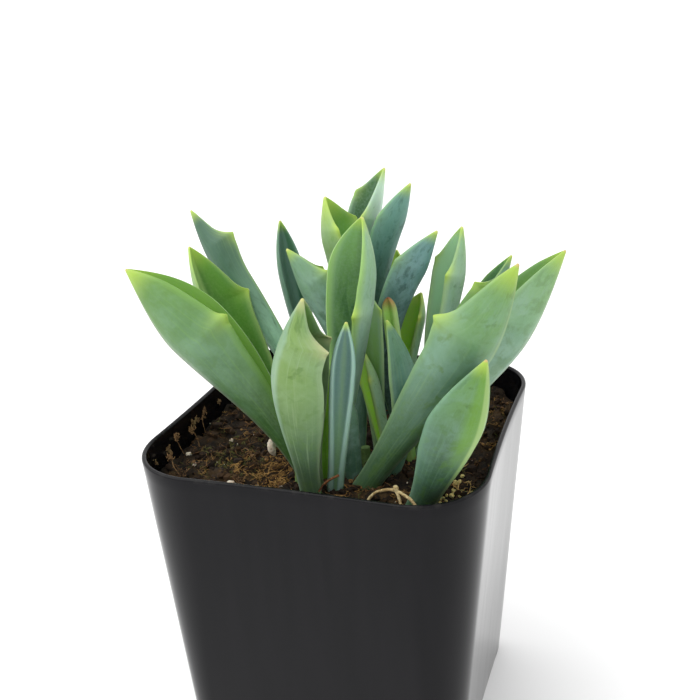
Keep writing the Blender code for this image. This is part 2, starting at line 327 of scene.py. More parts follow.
def grow(body: Shape, face: bmesh.types.BMFace, first: bool) -> bmesh.types.BMFace:
    """Extrudes an end face in place.

    Args:
        body: The shape.
        face: Its end face.
        first: Whether the face is the closed start, which is kept.

    Returns:
        The new end face.
    """
    grown = bmesh.ops.extrude_face_region(body, geom=[face])
    if not first:
        body.faces.remove(face)
    return next(item for item in grown["geom"] if isinstance(item, bmesh.types.BMFace))


def loft(rings: list[np.ndarray], tip: Point | None = None,
         marks: dict[str, np.ndarray] | None = None) -> Shape:
    """Closed shape extruded through a row of rings.

    Args:
        rings: The rings, all with the same number of points.
        tip: Point that closes the last ring, which is left flat without one.
        marks: Attribute values by name, one row for each ring.

    Returns:
        The shape.
    """
    body = bmesh.new()
    layers = {name: body.verts.layers.float.new(name) for name in marks or {}}
    bmesh.ops.create_circle(body, cap_ends=True, segments=len(rings[0]), radius=1.0)
    body.faces.ensure_lookup_table()
    face = body.faces[0]
    for step, ring in enumerate(rings):
        if step:
            face = grow(body, face, step == 1)
        move_face(face, ring)
        for name, layer in layers.items():
            for vert, value in zip(face.verts, marks[name][step]):
                vert[layer] = value
    if tip is not None:
        bmesh.ops.pointmerge(body, verts=list(face.verts), merge_co=Vector(tip))
    bmesh.ops.recalc_face_normals(body, faces=body.faces)
    return body


def tube(path: np.ndarray, radii: np.ndarray, sides: int) -> Shape:
    """Round bar along a path.

    Args:
        path: Points of the path.
        radii: Radius at each point.
        sides: Number of sides.

    Returns:
        The shape.
    """
    along = unit(np.gradient(path, axis=0))
    side = unit(np.cross(along, (0.31, 0.17, 1.0)))
    top = np.cross(side, along)
    turns = np.arange(sides) * 2 * math.pi / sides
    rings = [point + radius * (np.cos(turns)[:, None] * across + np.sin(turns)[:, None] * up)
             for point, radius, across, up in zip(path, radii, side, top)]
    return loft(rings)


def join(body: Shape, other: Shape) -> None:
    """Adds another shape to a shape.

    Args:
        body: The shape that grows.
        other: The shape that is added and freed.
    """
    mesh = mesh_of("joined", other)
    body.from_mesh(mesh)
    bpy.data.meshes.remove(mesh)


def smooth_path(points: Sequence[Point], count: int) -> np.ndarray:
    """Smooth curve through points.

    Args:
        points: The points.
        count: Number of points on the curve.

    Returns:
        The curve's points.
    """
    given = np.array([points[0], *points, points[-1]])
    path = []
    for place in np.linspace(0, len(points) - 1.0001, count):
        index = int(place)
        share = place - index
        first, second, third, fourth = given[index:index + 4]
        path.append(0.5 * (2 * second + (third - first) * share
                           + (2 * first - 5 * second + 4 * third - fourth) * share ** 2
                           + (3 * second - first - 3 * third + fourth) * share ** 3))
    return np.array(path)


def rod(points: Sequence[Point], radii: np.ndarray, sides: int) -> Shape:
    """Round bar on a smooth curve through points, with a ring for each radius."""
    return tube(smooth_path(points, len(radii)), radii, sides)


def roughen(body: Shape, depth: float, size: float, seed: float) -> None:
    """Moves points by noise.

    Args:
        body: The shape.
        depth: Furthest move.
        size: Size of the lumps.
        seed: Which noise.
    """
    shift = Vector((seed * 7.3, seed * 3.1, seed * 5.7))
    for vert in body.verts:
        vert.co += depth * noise.noise_vector(vert.co / size + shift)


@dataclass(frozen=True)
class LeafFinish:
    """Colours and bloom of one leaf, from its foot to its tip, with painted shade at the foot and in the
    groove of the fold.
    """

    outer: Colour
    # outer_low is the colour at the foot: partly the blade's own greener tone, partly painted shade cast by
    # the leaves around it; in SHADED_BLUE it is painted light.
    outer_low: Colour
    outer_top: Colour
    bloom: Colour
    rubbed: Colour
    inner: Colour
    # inner_low is, in most leaves, painted shade: the inner face darkens towards the foot and down in the
    # groove of the fold.
    inner_low: Colour
    inner_top: Colour
    edge: Colour = srgb(158, 188, 122)
    tip: Colour = srgb(168, 196, 74)
    point: Colour = srgb(204, 202, 118)
    keel: Colour = srgb(150, 178, 116)
    ridge: Colour = srgb(96, 144, 44)
    band: Colour = srgb(132, 166, 132)
    bloom_share: float = 0.55
    low_bloom: float = 0.2
    rubbed_share: float = 0.6
    mottle_share: float = 0.3
    streak_share: float = 0.12
    edge_share: float = 0.6
    edge_from: float = 0.86
    band_share: float = 0.2
    keel_share: float = 0.0
    keel_reach: float = 0.16
    ridge_share: float = 0.0
    low_from: float = 0.18
    low_to: float = 0.7
    top_from: float = 0.5
    ripe_from: float = 0.88
    blotches: float = 0.62
    veiled_to: float = -1.2

    FLOW = (2.2, 3.4)
    PATCH = (1.6, 6.0)
    DRAWN = (13.0, 1.6)

    def outside(self, graph: Graph, along: Socket, side: Socket, patch: Socket, streak: Socket) -> Socket:
        """Colour of the outer face, darker towards the foot partly by painted shade.

        Args:
            graph: The material's nodes.
            along: Share of the length.
            side: Distance from the keel, one at the margin.
            patch: Place on the blade.
            streak: Lengthwise streaks.

        Returns:
            The colour.
        """
        # Towards the foot the blade turns to outer_low: partly its own greener tone, partly painted shade.
        colour = graph.mix(graph.rise(along, self.low_from, self.low_to), self.outer_low, self.outer)
        colour = graph.mix(graph.rise(along, self.top_from, 0.97), colour, self.outer_top)
        clouds = graph.grain(1.1, 4.0, 0.6, 0.5, patch)
        veil = graph.times(graph.rise(clouds, 0.40, 0.66, 0.0, self.bloom_share),
                           graph.rise(along, 0.15, self.low_to - 0.1, self.low_bloom, 1.0))
        veil = graph.times(veil, graph.rise(along, 0.72, 0.98, 1.0, 0.25))
        colour = graph.mix(veil, colour, self.bloom)
        mottle = graph.grain(3.6, 5.0, 0.66, 0.6, patch)
        colour = graph.mix(graph.rise(mottle, 0.47, 0.70, 0.0, self.mottle_share), colour, self.rubbed)
        colour = graph.mix(graph.times(streak, self.streak_share), colour, self.edge)
        spots = graph.grain(1.9, 4.0, 0.55, 0.4, patch)
        spots = graph.rise(spots, self.blotches, self.blotches + 0.08, 0.0, self.rubbed_share)
        colour = graph.mix(spots, colour, self.rubbed)
        colour = graph.mix(graph.rise(side, 0.5, 1.0, 0.0, self.band_share), colour, self.band)
        ridge = graph.times(graph.rise(side, 0.25, 0.5, 1.0, 0.0),
                            graph.rise(along, 0.3, 0.6, 0.0, self.ridge_share))
        colour = graph.mix(ridge, colour, self.ridge)
        keel = graph.times(graph.rise(side, self.keel_reach * 0.6, self.keel_reach, 1.0, 0.0),
                           graph.rise(along, 0.1, 0.5, self.keel_share * 0.4, self.keel_share))
        return graph.mix(keel, colour, self.keel)

    def inside(self, graph: Graph, along: Socket, across: Socket, side: Socket, flow: Socket) -> Socket:
        """Colour of the folded inner face, with painted shade towards the foot and in the groove.

        Args:
            graph: The material's nodes.
            along: Share of the length.
            across: Place across the leaf, from minus one to one at its margins.
            side: Distance from the groove, one at the margin.
            flow: Place on the blade, stretched along it.

        Returns:
            The colour.
        """
        # Painted shade: the inner face darkens towards the foot and down into the groove of the fold.
        colour = graph.mix(graph.rise(along, 0.15, 0.7), self.inner_low, self.inner)
        colour = graph.mix(graph.rise(along, 0.6, 0.98), colour, self.inner_top)
        colour = graph.mix(graph.rise(side, 0.0, 0.5, 0.6, 0.0), colour, self.inner_low)
        clouds = graph.grain(2.4, 4.0, 0.6, 0.5, flow)
        colour = graph.mix(graph.rise(clouds, 0.42, 0.7, 0.0, 0.35), colour, self.inner_top)
        colour = graph.mix(graph.rise(side, 0.55, 1.0, 0.0, 0.5), colour, self.inner_top)
        colour = graph.mix(graph.rise(side, 0.7, 1.0, 0.0, self.band_share), colour, self.band)
        veil = graph.rise(across, self.veiled_to - 0.1, self.veiled_to + 0.1, 0.85, 0.0)
        return graph.mix(veil, colour, self.bloom)

    def material(self, name: str, seed: float) -> bpy.types.Material:
        """Waxy leaf skin with bloom, rubbed blotches, veins, pale margins, ripe tips and painted shade at the
        foot and in the fold.

        Args:
            name: The material's name.
            seed: Which noise the leaf has.

        Returns:
            The material.
        """
        graph = Graph(name)
        along = graph.attribute("along")
        across = graph.attribute("across")
        side = graph.math("ABSOLUTE", across)
        flow, patch, drawn = (graph.vector(graph.times(across, wide), graph.times(along, tall), seed)
                              for wide, tall in (self.FLOW, self.PATCH, self.DRAWN))
        veins = graph.grain(1.6, 4.0, 0.6, 0.3, drawn)
        streak = graph.rise(veins, 0.48, 0.70)
        specks = graph.grain(2400.0, 3.0, 0.6)

        outside = self.outside(graph, along, side, patch, streak)
        inside = self.inside(graph, along, across, side, flow)
        skin = graph.mix(graph.attribute("inner"), outside, inside)
        skin = graph.mix(graph.rise(specks, 0.35, 0.7, 0.0, 0.10), skin, self.bloom)
        skin = graph.mix(graph.rise(side, self.edge_from, 1.0, 0.0, self.edge_share), skin, self.edge)
        ripe = graph.math("MAXIMUM", graph.rise(along, self.ripe_from, 1.0), graph.attribute("tooth"))
        skin = graph.mix(graph.times(ripe, 0.85), skin, self.tip)
        skin = graph.mix(graph.rise(along, 0.985, 1.0, 0.0, 0.8), skin, self.point)

        rough = graph.rise(veins, 0.4, 0.7, 0.46, 0.56)
        normal = graph.bump(veins, 0.00010, 0.4)
        normal = graph.bump(specks, 0.00003, 0.35, normal)
        return graph.finish(Base_Color=skin, Roughness=rough, Normal=normal, Specular_IOR_Level=0.42,
                            Subsurface_Weight=0.18, Subsurface_Radius=(0.9, 1.3, 0.4),
                            Subsurface_Scale=0.0010, Sheen_Weight=0.06, Sheen_Roughness=0.45)


@dataclass(frozen=True)
class PlasticFinish:
    """Black moulded plastic with faint draw lines, dust and a scuffed rim."""

    colour: Colour = (0.0028, 0.0028, 0.0038)
    drawn: Colour = (0.0048, 0.0044, 0.0058)
    scuff: Colour = (0.018, 0.017, 0.016)
    dust: Colour = (0.12, 0.11, 0.10)

    DRAW_LINES = (("X", 420.0), ("Y", 420.0), ("Z", 22.0))

    def material(self, name: str, rim_height: float) -> bpy.types.Material:
        """Satin black plastic.

        Args:
            name: The material's name.
            rim_height: Height of the rim in metres.

        Returns:
            The material.
        """
        graph = Graph(name)
        split = graph.add("ShaderNodeSeparateXYZ", {0: graph.place})
        drawn = graph.vector(*(graph.times(split.outputs[axis], scale) for axis, scale in self.DRAW_LINES))
        lines = graph.grain(1.0, 4.0, 0.6, 0.2, drawn)
        clouds = graph.grain(90.0, 3.0, 0.5)
        dust = graph.grain(2600.0, 2.0, 0.7)
        dusty = graph.rise(clouds, 0.45, 0.7, 0.0, 0.35)
        specks = graph.times(graph.rise(dust, 0.72, 0.80), dusty)
        rim = graph.rise(split.outputs["Z"], rim_height - 0.0007, rim_height - 0.0001)
        worn = graph.times(rim, graph.rise(graph.grain(600.0, 4.0, 0.7), 0.45, 0.7, 0.0, 0.8))
        colour = graph.mix(graph.rise(lines, 0.3, 0.7, 0.0, 0.8), self.colour, self.drawn)
        colour = graph.mix(worn, colour, self.scuff)
        colour = graph.mix(specks, colour, self.dust)
        rough = graph.rise(lines, 0.25, 0.75, 0.08, 0.14)
        rough = graph.math("ADD", rough, graph.times(rim, 0.12))
        normal = graph.bump(lines, 0.00002, 0.3)
        return graph.finish(Base_Color=colour, Roughness=rough, Normal=normal, IOR=1.25)


@dataclass(frozen=True)
class MixFinish:
    """Damp brown potting mix."""

    dark: Colour
    mid: Colour
    light: Colour
    fleck: Colour
    rough: float = 0.92
    scale: float = 700.0

    def material(self, name: str) -> bpy.types.Material:
        """Crumbly earth with lighter flecks.

        Args:
            name: The material's name.

        Returns:
            The material.
        """
        graph = Graph(name)
        lumps = graph.grain(self.scale, 5.0, 0.65, 0.4)
        crumbs = graph.grain(self.scale * 4, 4.0, 0.7)
        areas = graph.grain(self.scale * 0.25, 3.0, 0.5, 0.5)
        colour = graph.mix(graph.rise(lumps, 0.35, 0.62), self.dark, self.mid)
        colour = graph.mix(graph.times(graph.rise(areas, 0.45, 0.7), 0.7), colour, self.light)
        colour = graph.mix(graph.rise(crumbs, 0.60, 0.72, 0.0, 0.8), colour, self.fleck)
        normal = graph.bump(crumbs, 0.0003, 0.8)
        return graph.finish(Base_Color=colour, Roughness=self.rough, Normal=normal, Specular_IOR_Level=0.25)


@dataclass(frozen=True)
class GrainFinish:
    """Porous mineral or bark grain."""

    colour: Colour
    pit: Colour
    scale: float = 1400.0

    def material(self, name: str) -> bpy.types.Material:
        """Pitted matt grain.

        Args:
            name: The material's name.

        Returns:
            The material.
        """
        graph = Graph(name)
        cells = graph.add("ShaderNodeTexVoronoi", {"Vector": graph.place, "Scale": self.scale})
        pits = cells.outputs["Distance"]
        clouds = graph.grain(self.scale * 0.6, 4.0, 0.6)
        colour = graph.mix(graph.rise(pits, 0.05, 0.35, 0.8, 0.0), self.colour, self.pit)
        colour = graph.mix(graph.rise(clouds, 0.5, 0.75, 0.0, 0.6), colour, self.pit)
        normal = graph.bump(pits, 0.0002, 0.7)
        return graph.finish(Base_Color=colour, Roughness=0.9, Normal=normal, Specular_IOR_Level=0.3,
                            Subsurface_Weight=0.1, Subsurface_Scale=0.0005)


@dataclass(frozen=True)
class WoodFinish:
    """Dry plant fibre with a lengthwise grain."""

    light: Colour
    dark: Colour

    def material(self, name: str) -> bpy.types.Material:
        """Streaky dry fibre.

        Args:
            name: The material's name.

        Returns:
            The material.
        """
        graph = Graph(name)
        streaks = graph.grain(1500.0, 4.0, 0.6, 1.0)
        colour = graph.mix(graph.rise(streaks, 0.35, 0.65), self.light, self.dark)
        normal = graph.bump(streaks, 0.0001, 0.6)
        return graph.finish(Base_Color=colour, Roughness=0.8, Normal=normal, Specular_IOR_Level=0.3)


SAGE = LeafFinish(
    outer=srgb(98, 136, 114), outer_low=srgb(60, 94, 56), outer_top=srgb(100, 142, 66),
    bloom=srgb(120, 156, 138), rubbed=srgb(80, 116, 54), inner=srgb(84, 134, 54),
    inner_low=srgb(44, 84, 30), inner_top=srgb(110, 154, 74), keel_share=0.3, keel_reach=0.05,
    point=srgb(206, 164, 120), edge=srgb(136, 170, 116), edge_share=0.5, blotches=0.56,
    rubbed_share=0.6, mottle_share=0.42, streak_share=0.2,
)
REAR_SAGE = replace(
    SAGE, outer=srgb(112, 150, 126), outer_low=srgb(84, 120, 88), outer_top=srgb(116, 158, 88),
    bloom=srgb(138, 170, 148), low_bloom=0.7, rubbed_share=0.35, mottle_share=0.3,
)
YELLOWED_SAGE = replace(
    SAGE, outer=srgb(94, 132, 96), outer_low=srgb(40, 78, 20), outer_top=srgb(82, 124, 34),
    bloom=srgb(112, 148, 116), ripe_from=0.86, keel=srgb(170, 150, 110), keel_share=0.35, keel_reach=0.03,
    band=srgb(116, 160, 66), blotches=0.66, low_to=0.8, inner=srgb(104, 156, 54),
    inner_low=srgb(70, 118, 38), inner_top=srgb(124, 174, 66), edge=srgb(122, 164, 76),
)
RIDGED_SAGE = replace(
    SAGE, outer=srgb(80, 114, 86), outer_low=srgb(44, 76, 52), outer_top=srgb(92, 136, 48),
    bloom=srgb(108, 144, 122), rubbed=srgb(62, 100, 34), keel=srgb(150, 180, 102), keel_share=0.7,
    keel_reach=0.13, ridge=srgb(98, 146, 36), ridge_share=0.7, band=srgb(98, 136, 116), band_share=0.4,
    edge=srgb(112, 150, 122), blotches=0.54, low_from=0.3, low_to=0.95, ripe_from=0.9,
)
BLUE = LeafFinish(
    outer=srgb(100, 138, 118), outer_low=srgb(66, 104, 84), outer_top=srgb(110, 148, 112),
    bloom=srgb(138, 170, 158), rubbed=srgb(60, 96, 68), inner=srgb(62, 106, 58),
    inner_low=srgb(34, 72, 34), inner_top=srgb(96, 142, 88), low_bloom=0.6, ripe_from=0.93,
)
VEILED_BLUE = replace(
    BLUE, inner=srgb(52, 98, 72), inner_low=srgb(40, 84, 64), inner_top=srgb(70, 116, 84),
    bloom=srgb(106, 142, 128), band=srgb(108, 144, 128), edge=srgb(118, 150, 134), veiled_to=0.45,
)
# Painted light: the very pale outer face, top and bloom stand in for the light this leaf catches at a grazing
# angle.
PAINTED_GRAZING_LIGHT_BLUE = replace(
    BLUE, outer=srgb(194, 222, 208), outer_top=srgb(194, 222, 198), bloom=srgb(202, 226, 218),
    inner=srgb(46, 86, 52), inner_top=srgb(70, 112, 70), band=srgb(172, 202, 188),
    edge=srgb(180, 208, 184), mottle_share=0.1,
)
HAZY_BLUE = replace(
    BLUE, outer=srgb(82, 120, 100), outer_low=srgb(92, 126, 100), outer_top=srgb(92, 130, 96),
    inner=srgb(54, 92, 62), inner_low=srgb(76, 108, 82),
)
STRIPED_BLUE = replace(
    BLUE, outer=srgb(128, 166, 136), inner=srgb(128, 174, 96), inner_low=srgb(104, 152, 58),
    inner_top=srgb(144, 182, 136), streak_share=0.5, band=srgb(150, 184, 164), band_share=0.6,
)
# Painted shade and light: the blade is painted dark where it lies in shade, and its foot is painted pale to
# make up for the shade that the leaves in front cast on it.
SHADED_BLUE = replace(
    BLUE, outer=srgb(34, 78, 54), outer_low=srgb(156, 204, 172), outer_top=srgb(58, 94, 72),
    bloom=srgb(84, 120, 104), bloom_share=0.35, low_bloom=0.2, blotches=0.58, low_from=0.3, low_to=0.88,
)
PALE_BLUE = replace(
    BLUE, outer=srgb(136, 172, 150), outer_low=srgb(124, 158, 146), outer_top=srgb(130, 172, 116),
    bloom=srgb(160, 188, 178), edge=srgb(150, 190, 84), edge_from=0.78, band=srgb(146, 182, 160),
    band_share=0.45, inner=srgb(58, 104, 50), inner_low=srgb(26, 64, 24), inner_top=srgb(116, 162, 92),
)
MINT_BLUE = replace(
    PALE_BLUE, inner=srgb(158, 204, 160), inner_low=srgb(62, 112, 44), inner_top=srgb(160, 202, 158),
    edge=srgb(158, 188, 122),
)
SLATE = LeafFinish(
    outer=srgb(102, 152, 140), outer_low=srgb(26, 58, 44), outer_top=srgb(104, 150, 138),
    low_from=0.4, low_to=0.95, mottle_share=0.4,
    bloom=srgb(118, 158, 150), rubbed=srgb(40, 76, 60), inner=srgb(64, 98, 84),
    inner_low=srgb(42, 74, 62), inner_top=srgb(84, 116, 108), edge=srgb(132, 172, 132), ripe_from=0.94,
)
DARK_SLATE = replace(
    SLATE, outer=srgb(78, 122, 120), outer_low=srgb(22, 54, 44), outer_top=srgb(104, 146, 144),
    bloom=srgb(140, 176, 178), rubbed=srgb(34, 70, 60), rubbed_share=0.5, mottle_share=0.6,
    low_from=0.42, low_to=1.0, blotches=0.6,
)
DEEP_BLUE = replace(
    BLUE, outer=srgb(58, 100, 84), outer_low=srgb(76, 116, 88), outer_top=srgb(84, 126, 96),
    bloom=srgb(100, 142, 126), band=srgb(120, 158, 138),
)
GREY_SLATE = replace(
    SLATE, outer=srgb(96, 130, 122), outer_low=srgb(104, 142, 98), inner=srgb(92, 126, 118),
    inner_low=srgb(100, 138, 92), inner_top=srgb(86, 120, 112), bloom=srgb(132, 162, 156),
    band=srgb(140, 174, 166), band_share=0.55, edge=srgb(146, 180, 164), mottle_share=0.15,
)
FRESH = LeafFinish(
    outer=srgb(120, 156, 106), outer_low=srgb(92, 132, 76), outer_top=srgb(126, 160, 84),
    bloom=srgb(144, 174, 146), rubbed=srgb(96, 140, 56), inner=srgb(74, 130, 34),
    inner_low=srgb(44, 92, 18), inner_top=srgb(98, 152, 52), edge=srgb(152, 180, 104), ripe_from=0.86,
)
LEFT_FRESH = replace(FRESH, bloom=srgb(148, 184, 108), veiled_to=0.08)
TALL_FRESH = replace(FRESH, inner=srgb(88, 150, 46), inner_top=srgb(106, 162, 62), band_share=0.4)
# Painted light: lighter, vivid greens stand in for light shining through the thin blades of leaves that lie
# in shade inside the rosette.
PAINTED_LIGHT_FRESH = replace(
    FRESH, outer=srgb(138, 176, 104), outer_low=srgb(110, 158, 62), outer_top=srgb(146, 184, 84),
    bloom=srgb(158, 188, 142), inner=srgb(142, 196, 60), inner_low=srgb(112, 172, 40),
    inner_top=srgb(156, 202, 92), tip=srgb(196, 212, 96),
)
# Painted light, stronger still, for the shaded leaves in the middle of the rosette.
PAINTED_LIGHT_INSIDE = replace(
    PAINTED_LIGHT_FRESH, outer=srgb(150, 190, 154), outer_low=srgb(128, 170, 124), outer_top=srgb(168, 206, 138),
    bloom=srgb(164, 200, 172), inner=srgb(176, 236, 66), inner_low=srgb(150, 216, 50),
    inner_top=srgb(176, 218, 96),
)
PALE = LeafFinish(
    outer=srgb(98, 130, 64), outer_low=srgb(66, 94, 66), outer_top=srgb(108, 140, 66),
    bloom=srgb(120, 150, 102), rubbed=srgb(76, 110, 38), mottle_share=0.5, inner=srgb(70, 112, 50),
    inner_low=srgb(40, 74, 34), inner_top=srgb(96, 136, 60), streak_share=0.4, blotches=0.58,
    keel=srgb(136, 168, 148), keel_share=0.55, keel_reach=0.3, tip=srgb(176, 178, 128),
    edge=srgb(140, 164, 124), ripe_from=0.93,
)
# The dry tip leaf keeps this painted light. Its brown tip and point are its own colour.
DRIED = replace(PAINTED_LIGHT_FRESH, tip=srgb(148, 86, 46), point=srgb(112, 56, 30), ripe_from=0.90)


@dataclass(frozen=True)
class Leaf:
    """One folded, toothed leaf, in millimetres and degrees.

    The foot stands in the soil and the tip is the end of the middle tooth. Teeth are given for the
    left and right margins as seen from inside the fold.
    """

    node: str
    foot: tuple[float, float]
    tip: Point
    width: float
    fold: float
    facing: float
    finish: LeafFinish
    bow: float = 0.0
    teeth: tuple[float, float] = (0.8, 0.8)
    tooth: tuple[float, float] = (0.15, 0.15)
    petiole: float = 0.38
    crease: float = 0.4
    taper: float = 1.8
    widest: float | None = None
    twist: float = 0.0

    THICKNESS = 1.5
    EDGE = 0.2
    FOOT_LEVEL = 55.5
    SUNK = 1.8
    ROWS = 96
    CROWDING = 1.25
    LAST_RING = 0.997
    RING = 17
    RIM_CROWDING = 0.55
    STEPS = 60
    TOOTH_RISE = 0.16
    TOOTH_FALL = 0.07
    WAIST = 0.35
    WAIST_LENGTH = 0.24
    POINT = 0.05
    POINT_LENGTH = 0.022
    POINTED_TOOTH = 0.1
    KEEL_SHARE = 0.65
    RIPPLE = 0.02
    OPENING = (1.05, 1.0, 0.8)
    RIPE_LENGTH = 0.035
    RIPE_TOOTH = 0.12

    @property
    def peak(self) -> float:
        """Share of the length at which the blade is widest."""
        return self.widest or sum(self.teeth) / 2 - 0.06

    def stations(self) -> np.ndarray:
        """Shares of the length at which the blade has a ring, closer together near its end."""
        even = np.linspace(0, 1, self.ROWS)
        return np.append(1 - (1 - even[:-1]) ** self.CROWDING, self.LAST_RING)

    def breadth(self, share: float) -> float:
        """Width of the blade without its teeth.

        Args:
            share: Share of the length.

        Returns:
            The width as a part of the full width.
        """
        if share <= self.peak:
            rise = share / self.peak
            return self.petiole + (1 - self.petiole) * rise * rise * (3 - 2 * rise)
        return 1 - ((share - self.peak) / (1 - self.peak)) ** self.taper

    @staticmethod
    def bulge(share: float, place: float, size: float) -> float:
        """How far a margin stands out at its tooth.

        Args:
            share: Share of the length.
            place: Share of the length at the tooth's point.
            size: The tooth's height as a part of the half width.

        Returns:
            The bulge as a part of the half width.
        """
        past = share - place
        point = Leaf.POINT * min(size / Leaf.POINTED_TOOTH, 1.0) * max(1 - abs(past) / Leaf.POINT_LENGTH, 0.0)
        if past <= 0:
            return size * max(1 + past / Leaf.TOOTH_RISE, 0.0) ** 2 + point
        waist = Leaf.WAIST * math.sin(math.pi * min(past / Leaf.WAIST_LENGTH, 1.0))
        return size * (max(1 - past / Leaf.TOOTH_FALL, 0.0) ** 2 - waist) + point

    @staticmethod
    def half_section(turn: float, crease: float, reach: np.ndarray) -> tuple[np.ndarray, np.ndarray]:
        """Shape of a folded half of width one.

        Args:
            turn: Angle at the margin.
            crease: How sharp the fold is, small for a sharp one.
            reach: Shares of the half width.

        Returns:
            How far out and how far up each share stands.
        """
        steps = np.linspace(0, 1, Leaf.STEPS + 1)
        angles = turn * steps ** crease
        out, rise = (np.append(0, np.cumsum(slope[1:] + slope[:-1]) / (2 * Leaf.STEPS))
                     for slope in (np.cos(angles), np.sin(angles)))
        return np.interp(reach, steps, out), np.interp(reach, steps, rise)

    def spine(self, stations: np.ndarray) -> tuple[np.ndarray, np.ndarray, np.ndarray, np.ndarray]:
        """The leaf's bowed middle line and how it is turned.

        Args:
            stations: Shares of the length.

        Returns:
            Points of the line and its directions along, across and into the fold.
        """
        foot = np.array([*self.foot, self.FOOT_LEVEL])
        chord = np.array(self.tip) - foot
        facing = math.radians(self.facing)
        inward = np.array([math.cos(facing), math.sin(facing), 0.0])
        along = unit(chord)
        bow_way = unit(inward - inward @ along * along)
        bowed = self.bow * (4 * stations * (1 - stations))[:, None] * bow_way
        line = foot + chord * stations[:, None] - bowed
        tangents = unit(chord - self.bow * (4 * (1 - 2 * stations))[:, None] * bow_way)
        up = unit(inward - (tangents @ inward)[:, None] * tangents)
        across = np.cross(tangents, up)
        lean = np.radians(self.twist) * stations[:, None]
        up, across = up * np.cos(lean) + across * np.sin(lean), across * np.cos(lean) - up * np.sin(lean)
        return line, tangents, across, up

    def thickness(self, share: float, breadth: float, reach: np.ndarray) -> np.ndarray:
        """Thickness of the flesh, greatest at the keel and the foot.

        Args:
            share: Share of the length.
            breadth: Width of the blade as a part of the full width.
            reach: Shares of the half width.

        Returns:
            The thickness at each share of the half width.
        """
        core = (self.THICKNESS * (1.1 - 0.35 * share) * (0.35 + 0.65 * breadth)
                * (1 + 0.5 * (1 - share) ** 2))
        return np.maximum(core * np.sqrt(1 - (0.97 * reach) ** 2.2), self.EDGE)

    def rings(self) -> tuple[list[np.ndarray], dict[str, np.ndarray]]:
        """Rings of the blade and the values that its material reads.

        Returns:
            The rings from the sunk foot to just under the tip, and one row of values for each.
        """
        stations = self.stations()
        line, tangents, across, up = self.spine(stations)
        opening = np.interp(stations, (0, self.peak, 1), self.OPENING)
        turns = math.radians(self.fold) * (1 + self.crease) * opening
        even = np.linspace(-1, 1, self.RING)
        places = np.sin(even * math.pi / 2) * self.RIM_CROWDING + even * (1 - self.RIM_CROWDING)
        reach = np.abs(places)
        side = (places > 0).astype(int)
        wave = Vector((self.foot[0], self.foot[1], self.width))
        rings, marks = [], {name: [] for name in ("along", "across", "inner", "tooth")}
        for index, share in enumerate(stations):
            breadth = self.breadth(share)
            bulges = np.array([self.bulge(share, self.teeth[which], self.tooth[which]) for which in side])
            ripple = np.array([noise.noise(wave + Vector((share * 7, 9.0 * which, 0))) for which in side])
            stretch = 1 + bulges + self.RIPPLE * ripple * smooth_step(0.1, 0.4, share)
            half = self.width / 2 * breadth * stretch
            out, rise = self.half_section(turns[index], self.crease, reach)
            x = np.sign(places) * half * out
            z = half * rise - self.width / 4 * breadth * rise[-1]
            tilt = np.sign(places) * turns[index] * reach ** self.crease
            normal = np.column_stack([-np.sin(tilt), np.cos(tilt)])
            thick = self.thickness(share, breadth, reach)[:, None]
            middle = np.column_stack([x, z])
            under = middle - normal * thick * self.KEEL_SHARE
            over = middle + normal * thick * (1 - self.KEEL_SHARE)
            flat = np.vstack([under, over[::-1]])
            ring = line[index] + flat[:, :1] * across[index] + flat[:, 1:] * up[index]
            if index == 0:
                sunk = self.FOOT_LEVEL - self.SUNK - ring[:, 2]
                ring += tangents[0] * (sunk / tangents[0][2])[:, None]
            rings.append(ring)
            near_tooth = np.array([math.exp(-((share - self.teeth[which]) / self.RIPE_LENGTH) ** 2)
                                   * min(self.tooth[which] / self.RIPE_TOOTH, 1.0) for which in side])
            tooth = near_tooth * reach ** 6
            faces = {"along": (np.full(self.RING, share),) * 2, "across": (places, places[::-1]),
                     "inner": (np.zeros(self.RING), np.ones(self.RING)), "tooth": (tooth, tooth[::-1])}
            for name, halves in faces.items():
                marks[name].append(np.concatenate(halves))
        return rings, {name: np.array(rows) for name, rows in marks.items()}

    def build(self, seed: float) -> bpy.types.Object:
        """Builds and dresses the leaf.

        Args:
            seed: Which noise its skin has.

        Returns:
            The piece.
        """
        rings, marks = self.rings()
        body = loft(rings, self.tip, marks)
        return add_piece(f"{self.node}_blade", body, self.finish.material(f"{self.node}_skin", seed),
                         (self.node,), 75.0)


